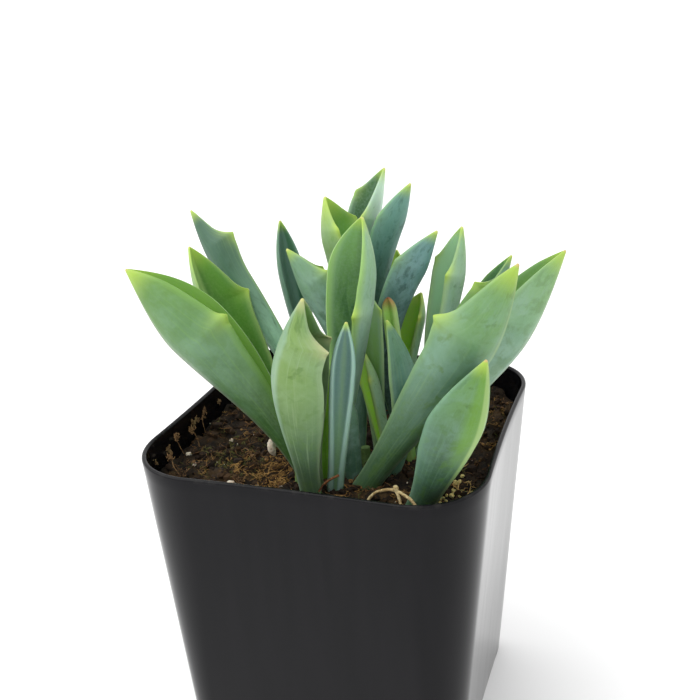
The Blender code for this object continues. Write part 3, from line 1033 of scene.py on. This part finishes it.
LEAVES = (
    Leaf("leaf_left_large", (-1.7, -13.8), (-30.0, -13.5, 87.5), 20.4, 70, 14, YELLOWED_SAGE, -2.4,
         (0.62, 0.70), (0.10, 0.0), 0.27, widest=0.68),
    Leaf("leaf_left_green", (-6.2, -6.0), (-25.4, -1.0, 87.9), 13.6, 50, -18, LEFT_FRESH, 1.2, (0.72, 0.72),
         petiole=0.34),
    Leaf("leaf_left_rear", (-1.0, -1.5), (-29.2, 8.0, 91.9), 8.8, 58, 35, SHADED_BLUE, -0.4, (0.83, 0.83),
         (0.42, 0.42), 0.28),
    Leaf("leaf_rear_thin", (-3.2, 3.8), (-13.0, 9.0, 90.2), 7.0, 55, -44, VEILED_BLUE, 3.0, (0.80, 0.80),
         (0.0, 0.0), 0.30),
    Leaf("leaf_middle_left", (3.6, -3.2), (-6.9, -3.4, 88.8), 10.5, 60, 30, BLUE, -3.8, (0.83, 0.83),
         petiole=0.30),
    Leaf("leaf_rear_left_tall", (0.4, 5.2), (-2.5, 3.4, 95.7), 11.2, 52, -5, TALL_FRESH, -2.2, (0.88, 0.88),
         petiole=0.22),
    Leaf("leaf_centre", (1.8, -9.2), (7.2, -8.0, 95.3), 13.4, 54, -125, PALE_BLUE, 0.0, (0.80, 0.66),
         (0.0, 0.15), petiole=0.24, widest=0.76),
    Leaf("leaf_rear_top", (-2.4, 14.2), (4.5, 13.4, 98.5), 10.1, 52, -142, PAINTED_GRAZING_LIGHT_BLUE, -3.8, (0.88, 0.82),
         petiole=0.24),
    Leaf("leaf_rear_top_right", (3.9, 10.8), (10.5, 7.3, 97.2), 8.6, 42, 165, SLATE, -4.6, (0.86, 0.86),
         (0.03, 0.03), 0.22, widest=0.83),
    Leaf("leaf_rear_pale", (7.2, 16.2), (6.1, 13.4, 84.5), 7.4, 45, -95, PAINTED_LIGHT_INSIDE, -0.6, (0.80, 0.80),
         petiole=0.40),
    Leaf("leaf_middle_right", (9.2, 1.4), (15.8, 2.8, 90.8), 10.4, 45, 175, DARK_SLATE, -5.3, (0.84, 0.84),
         (0.05, 0.05), 0.20, widest=0.82),
    Leaf("leaf_right_upright", (12.8, 1.8), (19.2, 5.0, 91.0), 9.0, 60, -138, MINT_BLUE, -0.6, (0.84, 0.80),
         (0.10, 0.20), 0.18),
    Leaf("leaf_right_rear_small", (12.0, 9.0), (26.0, 11.0, 85.0), 12.4, 60, -160, HAZY_BLUE, -0.5,
         (0.60, 0.60), petiole=0.40),
    Leaf("leaf_right_large", (8.2, -14.4), (31.3, -17.0, 91.8), 17.6, 68, 172, SAGE, 0.0, (0.83, 0.735),
         (0.16, 0.16), 0.36, 0.5, widest=0.68),
    Leaf("leaf_right_rear_large", (13.8, -3.4), (35.0, 6.0, 87.5), 18.0, 66, -162, REAR_SAGE, -1.0,
         (0.66, 0.66), petiole=0.24),
    Leaf("leaf_front_right", (17.9, -19.2), (28.0, -22.0, 80.0), 15, 48, 160, RIDGED_SAGE, 0.3, (0.66, 0.66),
         (0.0, 0.0), 0.46, 0.6),
    Leaf("leaf_front_left", (0.8, -18.3), (3.5, -23.5, 87.6), 17.8, 62, 14, PALE, 0.9, (0.83, 0.74),
         (0.46, 0.15), petiole=0.38, crease=0.7, widest=0.60),
    Leaf("leaf_front_slim", (4.0, -17.4), (8.9, -22.0, 84.0), 4.3, 45, -75, GREY_SLATE, 0.0, (0.78, 0.78),
         (0.0, 0.0), 0.50, 0.9),
    Leaf("leaf_dry_tip", (12.2, -5.9), (10.0, -5.8, 82.4), 2.8, 50, -100, DRIED, 0.3, (0.90, 0.90),
         (0.0, 0.0), 0.70, taper=5.0),
    Leaf("leaf_small_blue", (10.6, -10.0), (10.7, -9.4, 80.0), 8.0, 45, 180, DEEP_BLUE, 2.6, (0.66, 0.66),
         (0.0, 0.0), 0.50),
    Leaf("leaf_right_green", (7.6, 7.5), (12.0, 6.5, 79.4), 6.6, 50, -125, PAINTED_LIGHT_INSIDE, -1.0, (0.86, 0.86),
         petiole=0.36),
    Leaf("leaf_inner_rear", (7.2, -3.9), (4.7, -2.6, 84.0), 6, 35, -70, STRIPED_BLUE, 0.0, (0.82, 0.82),
         petiole=0.36),
    Leaf("leaf_inner_right", (9.2, -7.4), (5.2, -4.8, 73.0), 4.4, 50, -130, PAINTED_LIGHT_INSIDE, 0.0, (0.75, 0.75),
         petiole=0.48),
    Leaf("leaf_inner_front", (5.2, -12.6), (4.9, -12.9, 70.0), 4, 40, 150, BLUE, 0.0, (0.70, 0.70),
         petiole=0.70),
    Leaf("leaf_inner_left", (1.4, -14.2), (2.4, -15.2, 76.5), 3.8, 35, -70, PAINTED_LIGHT_FRESH, 0.0, (0.75, 0.75),
         petiole=0.60),
)


@dataclass
class NurseryPot:
    """Thin square pot that narrows downwards, with softly drawn-in sides."""

    top_side: float = 57.0
    base_side: float = 46.3
    height: float = 59.8
    wall: float = 0.8
    floor: float = 1.2
    top_corner: float = 12.6
    base_corner: float = 4.4
    top_pinch: float = 1.0
    base_pinch: float = 0.6
    drain_offset: float = 13.0
    drain_diameter: float = 3.8
    lip: float = 0.38
    corner_points: int = 22
    side_points: int = 14

    SWELL = 0.05
    FOOT_ROUND = ((0.0, 0.5), (0.12, 0.16), (0.45, 0.0))
    INNER_ROUND = 0.5

    def girth(self, height: float) -> tuple[float, float, float]:
        """Sizes of the pot at a height.

        Args:
            height: Height above the base.

        Returns:
            Half the side, the corner's radius, and how far the side is drawn in at its middle.
        """
        share = height / self.height
        side = self.base_side + (self.top_side - self.base_side) * share
        corner = self.base_corner + (self.top_corner - self.base_corner) * share
        return side / 2, corner, self.base_pinch + (self.top_pinch - self.base_pinch) * share

    def outline(self, height: float, inset: float = 0.0, scale: float = 1.0) -> np.ndarray:
        """Ring of the pot at a height.

        Args:
            height: Height above the base.
            inset: How far the ring is moved in.
            scale: Scale about the middle.

        Returns:
            The ring's points.
        """
        half, corner, pinch = self.girth(height)
        half, corner = half - inset, corner - inset
        straight = half - corner
        points = []
        for quarter in range(4):
            turns = np.linspace(quarter, quarter + 1, self.corner_points) * math.pi / 2
            middle = (quarter + 0.5) * math.pi / 2
            centre = straight * math.sqrt(2) * np.array([math.cos(middle), math.sin(middle)])
            points.extend(centre + corner * np.array([math.cos(turn), math.sin(turn)]) for turn in turns)
            away = np.array([math.cos(turns[-1]), math.sin(turns[-1])])
            sideways = np.array([-away[1], away[0]])
            shares = np.linspace(-1, 1, self.side_points + 2)[1:-1]
            points.extend(half * away + straight * share_at * sideways for share_at in shares)
        ring = np.array(points)
        ring *= 1 - pinch / half * (1 - (ring[:, ::-1] / half) ** 2)
        return np.column_stack([ring * scale, np.full(len(ring), height)])

    def reach(self, place: float, height: float) -> float:
        """How far out a side stands.

        Args:
            place: Place along the side.
            height: Height above the base.

        Returns:
            The distance from the middle of the pot.
        """
        half, _, pinch = self.girth(height)
        return half - pinch * (1 - (place / half) ** 2)

    def uneven(self, ring: np.ndarray) -> np.ndarray:
        """Ring with the slight unevenness of a thin moulded wall.

        Args:
            ring: The even ring.

        Returns:
            The uneven ring.
        """
        moved = ring.copy()
        for point in moved:
            swell = self.SWELL * noise.noise(Vector((point[0] * 0.09, point[1] * 0.09, point[2] * 0.05)))
            point[:2] += unit(point[:2]) * swell
        return moved

    def build(self) -> bpy.types.Object:
        """Builds and dresses the pot.

        Returns:
            The piece.
        """
        shoulder = self.height - self.lip
        arc = np.linspace(0, math.pi, 9)
        rings = [self.outline(height, inset) for height, inset in self.FOOT_ROUND]
        rings += [self.uneven(self.outline(height)) for height in np.linspace(2.0, shoulder, 30)]
        for turn in arc[1:-1]:
            ring = self.outline(shoulder, self.wall / 2 * (1 - math.cos(turn)))
            ring[:, 2] += self.lip * math.sin(turn)
            rings.append(ring)
        rings += [self.outline(height, self.wall) for height in np.linspace(shoulder, 4.0, 24)]
        rings += [self.outline(self.floor + self.INNER_ROUND, self.wall),
                  self.outline(self.floor, self.wall + self.INNER_ROUND)]
        body = loft(rings)
        finish = PlasticFinish().material("moulded_black_plastic", self.height * MM)
        pot = add_piece("nursery_pot", body, finish, ("pot",), 50.0)
        self.drill(pot)
        return pot

    def drill(self, pot: bpy.types.Object) -> None:
        """Cuts the drain holes through the pot's floor.

        Args:
            pot: The pot's piece.
        """
        drills = bmesh.new()
        radius = self.drain_diameter / 2
        for x in (-self.drain_offset, self.drain_offset):
            for y in (-self.drain_offset, self.drain_offset):
                bmesh.ops.create_cone(drills, cap_ends=True, segments=32, radius1=radius, radius2=radius,
                                      depth=4 * self.floor, matrix=Matrix.Translation((x, y, 0.0)))
        bmesh.ops.scale(drills, vec=(MM, MM, MM), verts=drills.verts)
        drill = put("drain_drill", mesh_of("drain_drill", drills))
        cut = pot.modifiers.new("drain_holes", "BOOLEAN")
        cut.operation = "DIFFERENCE"
        cut.solver = "EXACT"
        cut.object = drill
        graph = bpy.context.evaluated_depsgraph_get()
        drilled = bpy.data.meshes.new_from_object(pot.evaluated_get(graph))
        pot.modifiers.clear()
        pot.data = drilled
        bpy.data.objects.remove(drill)


@dataclass
class PottingMix:
    """Potting mix that fills the pot, with crumbs, fibres, moss and white specks on top."""

    pot: NurseryPot
    level: float = 54.9
    relief: float = 1.5
    gap: float = 0.12
    clump: tuple[float, float] = (8.0, -4.0)
    clump_reach: tuple[float, float] = (12.0, 24.0)
    half_top: float = 27.0
    straight: float = 15.5
    corner: float = 10.9
    rng: random.Random = field(default_factory=lambda: random.Random(41))

    TOP_RINGS = 90
    FIBRE_TAPER = np.array((0.6, 1.0, 1.0, 0.9, 0.8, 0.4))
    STRAND_TAPER = np.array((0.7, 1.0, 1.1, 1.0, 1.0, 0.8, 0.4))
    WALL_LUMPS = ((-13.6, 56.6, 0.7, 5), (-4.8, 57.4, 0.9, 8), (3.4, 56.9, 0.8, 3), (-18.4, 56.4, 0.5, 3))

    def height(self, x: float, y: float) -> float:
        """Height of the mix.

        Args:
            x: Place across.
            y: Place in depth.

        Returns:
            The height in millimetres.
        """
        away = smooth_step(*self.clump_reach, math.hypot(x - self.clump[0], y - self.clump[1]))
        lumps = noise.noise(Vector((x * 0.22, y * 0.22, 3.0)))
        crumbs = noise.fractal(Vector((x * 0.7, y * 0.7, 8.0)), 0.7, 2.1, 4)
        hollows = max(noise.noise(Vector((x * 0.45, y * 0.45, 21.0))) - 0.15, 0.0)
        rough = self.relief * (0.25 + 0.6 * away) * lumps + 0.7 * crumbs - 2.4 * away * hollows
        return self.level - 0.5 * away + rough

    def top(self) -> bpy.types.Object:
        """Builds the mix itself.

        Returns:
            The piece.
        """
        clear = self.pot.wall + self.gap
        rings = [self.pot.outline(height, clear) for height in (self.pot.floor + 0.3, 30.0, 50.0)]
        for scale in np.linspace(0.995, 0.02, self.TOP_RINGS):
            ring = self.pot.outline(self.level, clear, scale)
            ring[:, 2] = [self.height(x, y) for x, y, _ in ring]
            rings.append(ring)
        body = loft(rings, (0.0, 0.0, self.height(0.0, 0.0)))
        finish = MixFinish(srgb(17, 14, 11), srgb(42, 31, 20), srgb(76, 58, 34), srgb(138, 108, 62))
        damp = finish.material("damp_potting_mix")
        return add_piece("potting_mix_body", body, damp, ("soil",))

    def place(self, clear: float, around: Point | None) -> Point:
        """Random place on the mix, inside the pot.

        Args:
            clear: Distance kept from the wall.
            around: Middle and spread of a cluster, or none for the whole top.

        Returns:
            The place.
        """
        while True:
            if around:
                x, y = self.rng.gauss(around[0], around[2]), self.rng.gauss(around[1], around[2])
            else:
                x = self.rng.uniform(-self.half_top, self.half_top)
                y = self.rng.uniform(-self.half_top, self.half_top)
            beyond = max(abs(x) - self.straight, 0.0), max(abs(y) - self.straight, 0.0)
            if math.hypot(*beyond) < self.corner - clear:
                return x, y, self.height(x, y)

    def scatter(self, name: str, shapes: list[Shape], count: int, sizes: tuple[float, float],
                lift: float, finish: bpy.types.Material, flatten: float = 1.0,
                around: Point | None = None) -> bpy.types.Object:
        """Strews copies of small shapes over the mix as one piece.

        Args:
            name: The piece's name.
            shapes: Shapes to copy, which are freed.
            count: Number of copies.
            sizes: Smallest and largest size.
            lift: How far a copy of size one stands above the mix.
            finish: The material.
            flatten: Height of a copy as a part of its size.
            around: Middle and spread of a cluster, or none for the whole top.

        Returns:
            The piece.
        """
        meshes = [mesh_of(name, shape) for shape in shapes]
        body = bmesh.new()
        for _ in range(count):
            size = self.rng.uniform(*sizes) * self.rng.uniform(0.6, 1.0)
            x, y, z = self.place(0.65 * size, around)
            before = len(body.verts)
            body.from_mesh(self.rng.choice(meshes))
            body.verts.ensure_lookup_table()
            new = body.verts[before:]
            turn = Matrix.Rotation(self.rng.uniform(0, 2 * math.pi), 4, "Z")
            tilt = Matrix.Rotation(self.rng.gauss(0, 0.35), 4, "X")
            grow_to = Matrix.Diagonal((size, size * self.rng.uniform(0.6, 1.0), size * flatten, 1.0))
            move = Matrix.Translation((x, y, z + lift * size))
            bmesh.ops.transform(body, matrix=move @ turn @ tilt @ grow_to, verts=new)
        for mesh in meshes:
            bpy.data.meshes.remove(mesh)
        return add_piece(name, body, finish, (), 35.0)

    def crumb_shapes(self, count: int, subdivisions: int = 1) -> list[Shape]:
        """Lumpy crumbs of size one.

        Args:
            count: Number of shapes.
            subdivisions: How fine they are.

        Returns:
            The shapes.
        """
        shapes = []
        for seed in range(count):
            shape = bmesh.new()
            bmesh.ops.create_icosphere(shape, subdivisions=subdivisions, radius=0.5)
            roughen(shape, 0.22, 0.45, seed + 0.5)
            shapes.append(shape)
        return shapes

    def fibre_shapes(self, count: int, radius: float) -> list[Shape]:
        """Curled fibres of length one.

        Args:
            count: Number of shapes.
            radius: Radius as a part of the length.

        Returns:
            The shapes.
        """
        shapes = []
        for _ in range(count):
            points = [(-0.5, 0.0, -0.05)]
            for step in (0.25, 0.5, 0.75, 1.0):
                points.append((step - 0.5, self.rng.uniform(-0.22, 0.22), self.rng.uniform(0.0, 0.22)))
            shapes.append(rod(points, radius * self.FIBRE_TAPER, 4))
        return shapes

    def tuft_shapes(self, count: int, strands: int, radius: float) -> list[Shape]:
        """Small tangles of curled fibres, about one across.

        Args:
            count: Number of shapes.
            strands: Fibres in each tangle.
            radius: Radius of a fibre.

        Returns:
            The shapes.
        """
        shapes = []
        for _ in range(count):
            tangle = bmesh.new()
            for _ in range(strands):
                place = np.array([self.rng.gauss(0, 0.22) for _ in range(3)])
                points = [place]
                for _ in range(4):
                    points.append(points[-1] + [self.rng.uniform(-0.3, 0.3) for _ in range(3)])
                join(tangle, rod(points, radius * self.STRAND_TAPER, 4))
            shapes.append(tangle)
        return shapes

    def build(self) -> None:
        """Builds the mix and everything strewn on it."""
        self.top()
        crumb = MixFinish(srgb(16, 12, 9), srgb(44, 31, 20), srgb(80, 58, 34), srgb(142, 108, 64),
                          scale=500.0)
        tan = WoodFinish(srgb(148, 112, 64), srgb(84, 58, 32))
        gold = WoodFinish(srgb(166, 130, 72), srgb(98, 70, 34)).material("golden_fibre")
        self.scatter("peat_crumbs", self.crumb_shapes(9), 1000, (0.5, 2.4), 0.1,
                     crumb.material("peat_crumb"), 0.75)
        self.scatter("tan_crumbs", self.crumb_shapes(6), 300, (0.3, 1.2), 0.2,
                     tan.material("tan_crumb"), 0.6)
        self.scatter("peat_fibres", self.fibre_shapes(12, 0.022), 620, (1.0, 4.2), 0.08,
                     WoodFinish(srgb(132, 96, 56), srgb(70, 46, 26)).material("peat_fibre"))
        self.scatter("golden_tufts", self.tuft_shapes(8, 6, 0.05), 165, (1.0, 2.6), 0.15, gold,
                     0.6)
        self.scatter("front_fibres", self.fibre_shapes(12, 0.035), 240, (0.8, 2.8), 0.2,
                     WoodFinish(srgb(186, 146, 84), srgb(120, 86, 44)).material("pale_golden_fibre"),
                     around=(-7.0, -14.5, 4.6))
        self.scatter("front_tufts", self.tuft_shapes(6, 6, 0.055), 80, (0.7, 1.9), 0.25, gold,
                     0.7, around=(-5.0, -14.0, 4.4))
        self.scatter("corner_fibres", self.fibre_shapes(8, 0.05), 34, (1.0, 3.0), 0.25,
                     WoodFinish(srgb(206, 178, 118), srgb(150, 116, 66)).material("straw_fibre"),
                     around=(21.5, -13.5, 2.4))
        self.scatter("corner_crumbs", self.crumb_shapes(5, 2), 26, (0.5, 1.3), 0.4,
                     GrainFinish(srgb(200, 186, 120), srgb(140, 118, 70)).material("straw_crumb"),
                     0.8, (22.6, -14.6, 2.0))
        self.scatter("dark_tufts", self.tuft_shapes(6, 6, 0.06), 150, (1.2, 3.0), 0.1,
                     WoodFinish(srgb(56, 40, 26), srgb(24, 17, 12)).material("dark_fibre"), 0.6)
        moss = WoodFinish(srgb(100, 98, 50), srgb(58, 56, 28)).material("moss_bit")
        self.scatter("moss_bits", self.tuft_shapes(6, 4, 0.08), 200, (0.5, 1.4), 0.25, moss)
        self.scatter("left_moss", self.tuft_shapes(6, 5, 0.07), 90, (0.6, 1.6), 0.3, moss, 0.8,
                     (-16.0, -11.5, 3.4))
        self.scatter("brown_tufts", self.tuft_shapes(6, 6, 0.07), 170, (0.8, 2.2), 0.2,
                     WoodFinish(srgb(118, 88, 54), srgb(62, 44, 26)).material("brown_fibre"), 0.6)
        self.scatter("white_specks", self.crumb_shapes(5), 90, (0.2, 0.55), 0.45,
                     GrainFinish(srgb(206, 196, 176), srgb(160, 144, 120)).material("white_speck"),
                     0.8)
        self.wall_lumps(WoodFinish(srgb(172, 146, 104), srgb(104, 80, 50)).material("wall_fibre"))

    def wall_lumps(self, finish: bpy.types.Material) -> None:
        """Sticks small tangles of fibre to the inside of the left wall, above the mix.

        Args:
            finish: The material.
        """
        tangles = self.tuft_shapes(6, 7, 0.11)
        body = bmesh.new()
        for y, z, spread, count in self.WALL_LUMPS:
            for _ in range(count):
                place = (y + self.rng.gauss(0, spread), z + self.rng.gauss(0, 0.35))
                lump = self.rng.choice(tangles).copy()
                size = self.rng.uniform(0.45, 0.9)
                wall = self.pot.reach(*place) - self.pot.wall
                turn = Matrix.Rotation(self.rng.uniform(0, 2 * math.pi), 3, "X")
                bmesh.ops.scale(lump, vec=(size * 0.6, size, size), verts=lump.verts)
                bmesh.ops.rotate(lump, matrix=turn, verts=lump.verts)
                bmesh.ops.translate(lump, vec=(0.35 * size - wall, *place), verts=lump.verts)
                join(body, lump)
        for tangle in tangles:
            tangle.free()
        add_piece("fibre_lumps_on_the_wall", body, finish, (), 35.0)


@dataclass
class Litter:
    """Grains, chip, curl, twig, fibres and stem stubs on the mix."""

    mix: PottingMix

    BURIED = 0.15
    STEM_FOOT = 54.4
    GRAINS = {
        "perlite_long": ((-10.3, -8.1), (3.1, 1.6, 1.3), 126.0, 52.0),
        "perlite_1": ((-24.2, -11.6), (0.9, 0.7, 0.65), 20.0, 0.0),
        "perlite_2": ((-21.6, -14.5), (0.75, 0.65, 0.55), 70.0, 0.0),
        "perlite_3": ((-19.9, -4.0), (0.8, 0.65, 0.55), 150.0, 0.0),
        "perlite_4": ((-13.1, -18.5), (1.4, 0.8, 0.7), 15.0, 0.0),
        "perlite_5": ((-4.6, -18.8), (0.8, 0.65, 0.55), 40.0, 0.0),
        "perlite_6": ((6.2, -20.6), (1.8, 1.0, 0.8), 10.0, 0.0),
        "bark_chip": ((15.7, -22.8), (1.3, 1.1, 1.05), 12.0, 0.0),
    }
    CURL = ((10.2, -20.9, 55.7), (11.2, -20.8, 57.0), (12.4, -20.8, 57.7), (13.7, -20.9, 58.1),
            (14.9, -21.1, 58.1), (16.1, -21.5, 57.8), (17.3, -21.9, 57.3), (18.4, -22.3, 55.8))
    KNOT = ((14.6, -21.0, 58.9), (14.8, -21.1, 58.2), (15.2, -21.4, 57.4), (15.6, -21.7, 56.2))
    TWIG = ((2.4, -20.2, 55.9), (3.2, -20.1, 57.2), (4.4, -20.0, 58.2), (5.6, -19.9, 58.9))
    FIBRES = (
        ((-24.8, -12.0, 54.9), (-25.5, -12.2, 56.8), (-25.4, -12.8, 58.6)),
        ((-23.6, -8.6, 54.95), (-24.4, -8.2, 56.6), (-25.2, -8.4, 57.9)),
        ((-25.0, -3.6, 54.85), (-25.6, -3.2, 56.8), (-25.3, -2.4, 58.7)),
        ((-22.0, -19.0, 55.2), (-23.0, -18.6, 56.2), (-24.2, -17.4, 57.3)),
        ((-15.4, -9.6, 55.4), (-14.0, -10.4, 56.4), (-12.2, -11.8, 55.7)),
    )
    STEMS = {
        "stem_front_left": ((-2.0, -17.2), 0.7, 2.2),
        "stem_middle": ((6.2, -8.6), 0.9, 2.6),
        "stem_rear": ((10.6, -1.6), 0.9, 2.6),
    }

    def grains(self) -> None:
        """Builds the perlite grains and the bark chip."""
        white = GrainFinish(srgb(214, 202, 182), srgb(150, 130, 104)).material("perlite")
        bark = GrainFinish(srgb(206, 170, 136), srgb(140, 100, 70), 900.0).material("pale_bark")
        for seed, (node, (place, size, turn, lean)) in enumerate(self.GRAINS.items()):
            finish, slot = (bark, Slot.BARK) if node == "bark_chip" else (white, Slot.PERLITE)
            body = bmesh.new()
            bmesh.ops.create_icosphere(body, subdivisions=3, radius=0.5)
            roughen(body, 0.28, 0.5, seed + 2.0)
            roughen(body, 0.10, 0.16, seed + 9.0)
            bmesh.ops.scale(body, vec=size, verts=body.verts)
            way = Matrix.Rotation(math.radians(turn), 3, "Z") @ Matrix.Rotation(math.radians(-lean), 3, "Y")
            bmesh.ops.rotate(body, matrix=way, verts=body.verts)
            lowest = min(vert.co.z for vert in body.verts)
            level = self.mix.height(*place) - self.BURIED
            bmesh.ops.translate(body, vec=(*place, level - lowest), verts=body.verts)
            add_piece(f"{node}_grain", body, finish, (node,), 50.0)

    def fibres(self) -> None:
        """Builds the wood curl, the twig and the root fibres with their tangles."""
        light = WoodFinish(srgb(214, 196, 148), srgb(160, 132, 84)).material("dry_wood_curl")
        brown = WoodFinish(srgb(140, 92, 54), srgb(86, 52, 30)).material("brown_twig")
        tan = WoodFinish(srgb(154, 122, 82), srgb(84, 60, 36)).material("root_fibre")
        body = rod(self.CURL, np.linspace(0.21, 0.25, 28), 10)
        knot = 0.24 + 0.2 * np.exp(-((np.linspace(0, 1, 16) - 0.22) / 0.2) ** 2)
        join(body, rod(self.KNOT, knot, 12))
        roughen(body, 0.05, 0.5, 4.0)
        add_piece("wood_curl_strip", body, light, ("wood_curl",), 50.0)
        stick = rod(self.TWIG, np.linspace(0.14, 0.20, 12), 8)
        add_piece("brown_twig_stick", stick, brown, ("twig",), 50.0)
        for number, points in enumerate(self.FIBRES, 1):
            path = smooth_path(points, 14)
            body = tube(path, 0.07 * np.linspace(0.8, 1.0, 14), 8)
            for tangle in self.mix.tuft_shapes(4, 6, 0.09):
                middle = Vector(path[self.mix.rng.randrange(9, 14)])
                bmesh.ops.scale(tangle, vec=(0.6, 1.0, 0.9), verts=tangle.verts)
                bmesh.ops.translate(tangle, vec=middle, verts=tangle.verts)
                join(body, tangle)
            roughen(body, 0.12, 0.6, float(number))
            add_piece(f"root_fibre_{number}", body, tan, (f"fibre_{number}",), 50.0)

    def stems(self) -> None:
        """Builds the stem stubs."""
        graph = Graph("stem_skin")
        clouds = graph.grain(500.0, 4.0, 0.6)
        colour = graph.mix(graph.rise(clouds, 0.4, 0.65), srgb(120, 150, 90), srgb(84, 110, 58))
        skin = graph.finish(Base_Color=colour, Roughness=0.55, Normal=graph.bump(clouds, 0.0001, 0.5))
        for node, (place, radius, height) in self.STEMS.items():
            path = np.array([(*place, self.STEM_FOOT + height * share + share)
                             for share in np.linspace(0, 1, 8)])
            stub = tube(path, radius * np.linspace(1.0, 0.78, 8), 14)
            add_piece(f"{node}_stub", stub, skin, (node,), 50.0)

    def build(self) -> None:
        """Builds all of the litter."""
        self.grains()
        self.fibres()
        self.stems()


@dataclass
class Studio:
    """White floor, soft lights and the camera."""

    eye: Point = (48.94, -134.46, 125.98)
    azimuth: float = 19.45
    elevation: float = 21.09
    roll: float = -3.2
    lens: float = 47.85
    sensor: float = 36.0
    floor_reach: float = 3.0
    sky_strength: float = 1.18

    AIM = (0.0, 0.0, 0.06)

    def floor(self) -> None:
        """Lays the floor."""
        body = bmesh.new()
        bmesh.ops.create_grid(body, x_segments=1, y_segments=1, size=self.floor_reach)
        mesh = mesh_of("floor", body)
        mesh.materials.append(Graph("white_floor").finish(Base_Color=(0.96, 0.96, 0.96), Roughness=0.8))
        put("floor", mesh)

    def panel(self, name: str, place: Point, size: float, power: float) -> None:
        """Adds a soft square light.

        Args:
            name: The light's name.
            place: Where it hangs, in metres.
            size: Its side, in metres.
            power: Its power in watts.
        """
        light = bpy.data.lights.new(name, "AREA")
        light.size = size
        light.energy = power
        lamp = put(name, light)
        lamp.location = place
        lamp.rotation_euler = (Vector(self.AIM) - Vector(place)).to_track_quat("-Z", "Y").to_euler()

    def lights(self) -> None:
        """Lights the scene softly from all round, with more from above."""
        world = bpy.data.worlds.new("studio_white")
        world.use_nodes = True
        sky = world.node_tree.nodes["Background"]
        sky.inputs["Color"].default_value = (1.0, 1.0, 1.0, 1.0)
        sky.inputs["Strength"].default_value = self.sky_strength
        bpy.context.scene.world = world
        self.panel("top_left_softbox", (-0.45, -0.25, 0.75), 1.0, 4.4)

    def camera(self) -> None:
        """Sets up the camera."""
        data = bpy.data.cameras.new("camera")
        data.sensor_width = self.sensor
        data.lens = self.lens
        data.clip_start = 0.005
        data.clip_end = 20.0
        camera = put("camera", data)
        turn = (Matrix.Rotation(math.radians(self.azimuth), 4, "Z")
                @ Matrix.Rotation(math.radians(90 - self.elevation), 4, "X")
                @ Matrix.Rotation(math.radians(self.roll), 4, "Z"))
        camera.matrix_world = Matrix.Translation(Vector(self.eye) * MM) @ turn
        bpy.context.scene.camera = camera

    def build(self) -> None:
        """Builds the studio."""
        self.floor()
        self.lights()
        self.camera()
        bpy.context.scene.view_settings.view_transform = "Standard"


def main() -> None:
    """Builds the studio, the pot, the mix, the litter and the leaves."""
    logging.basicConfig(level=logging.INFO, format="%(message)s")
    noise.seed_set(3)
    Studio().build()
    pot = NurseryPot()
    pot.build()
    mix = PottingMix(pot)
    mix.build()
    Litter(mix).build()
    for number, leaf in enumerate(LEAVES):
        leaf.build(float(number))


if __name__ == "__main__":
    main()
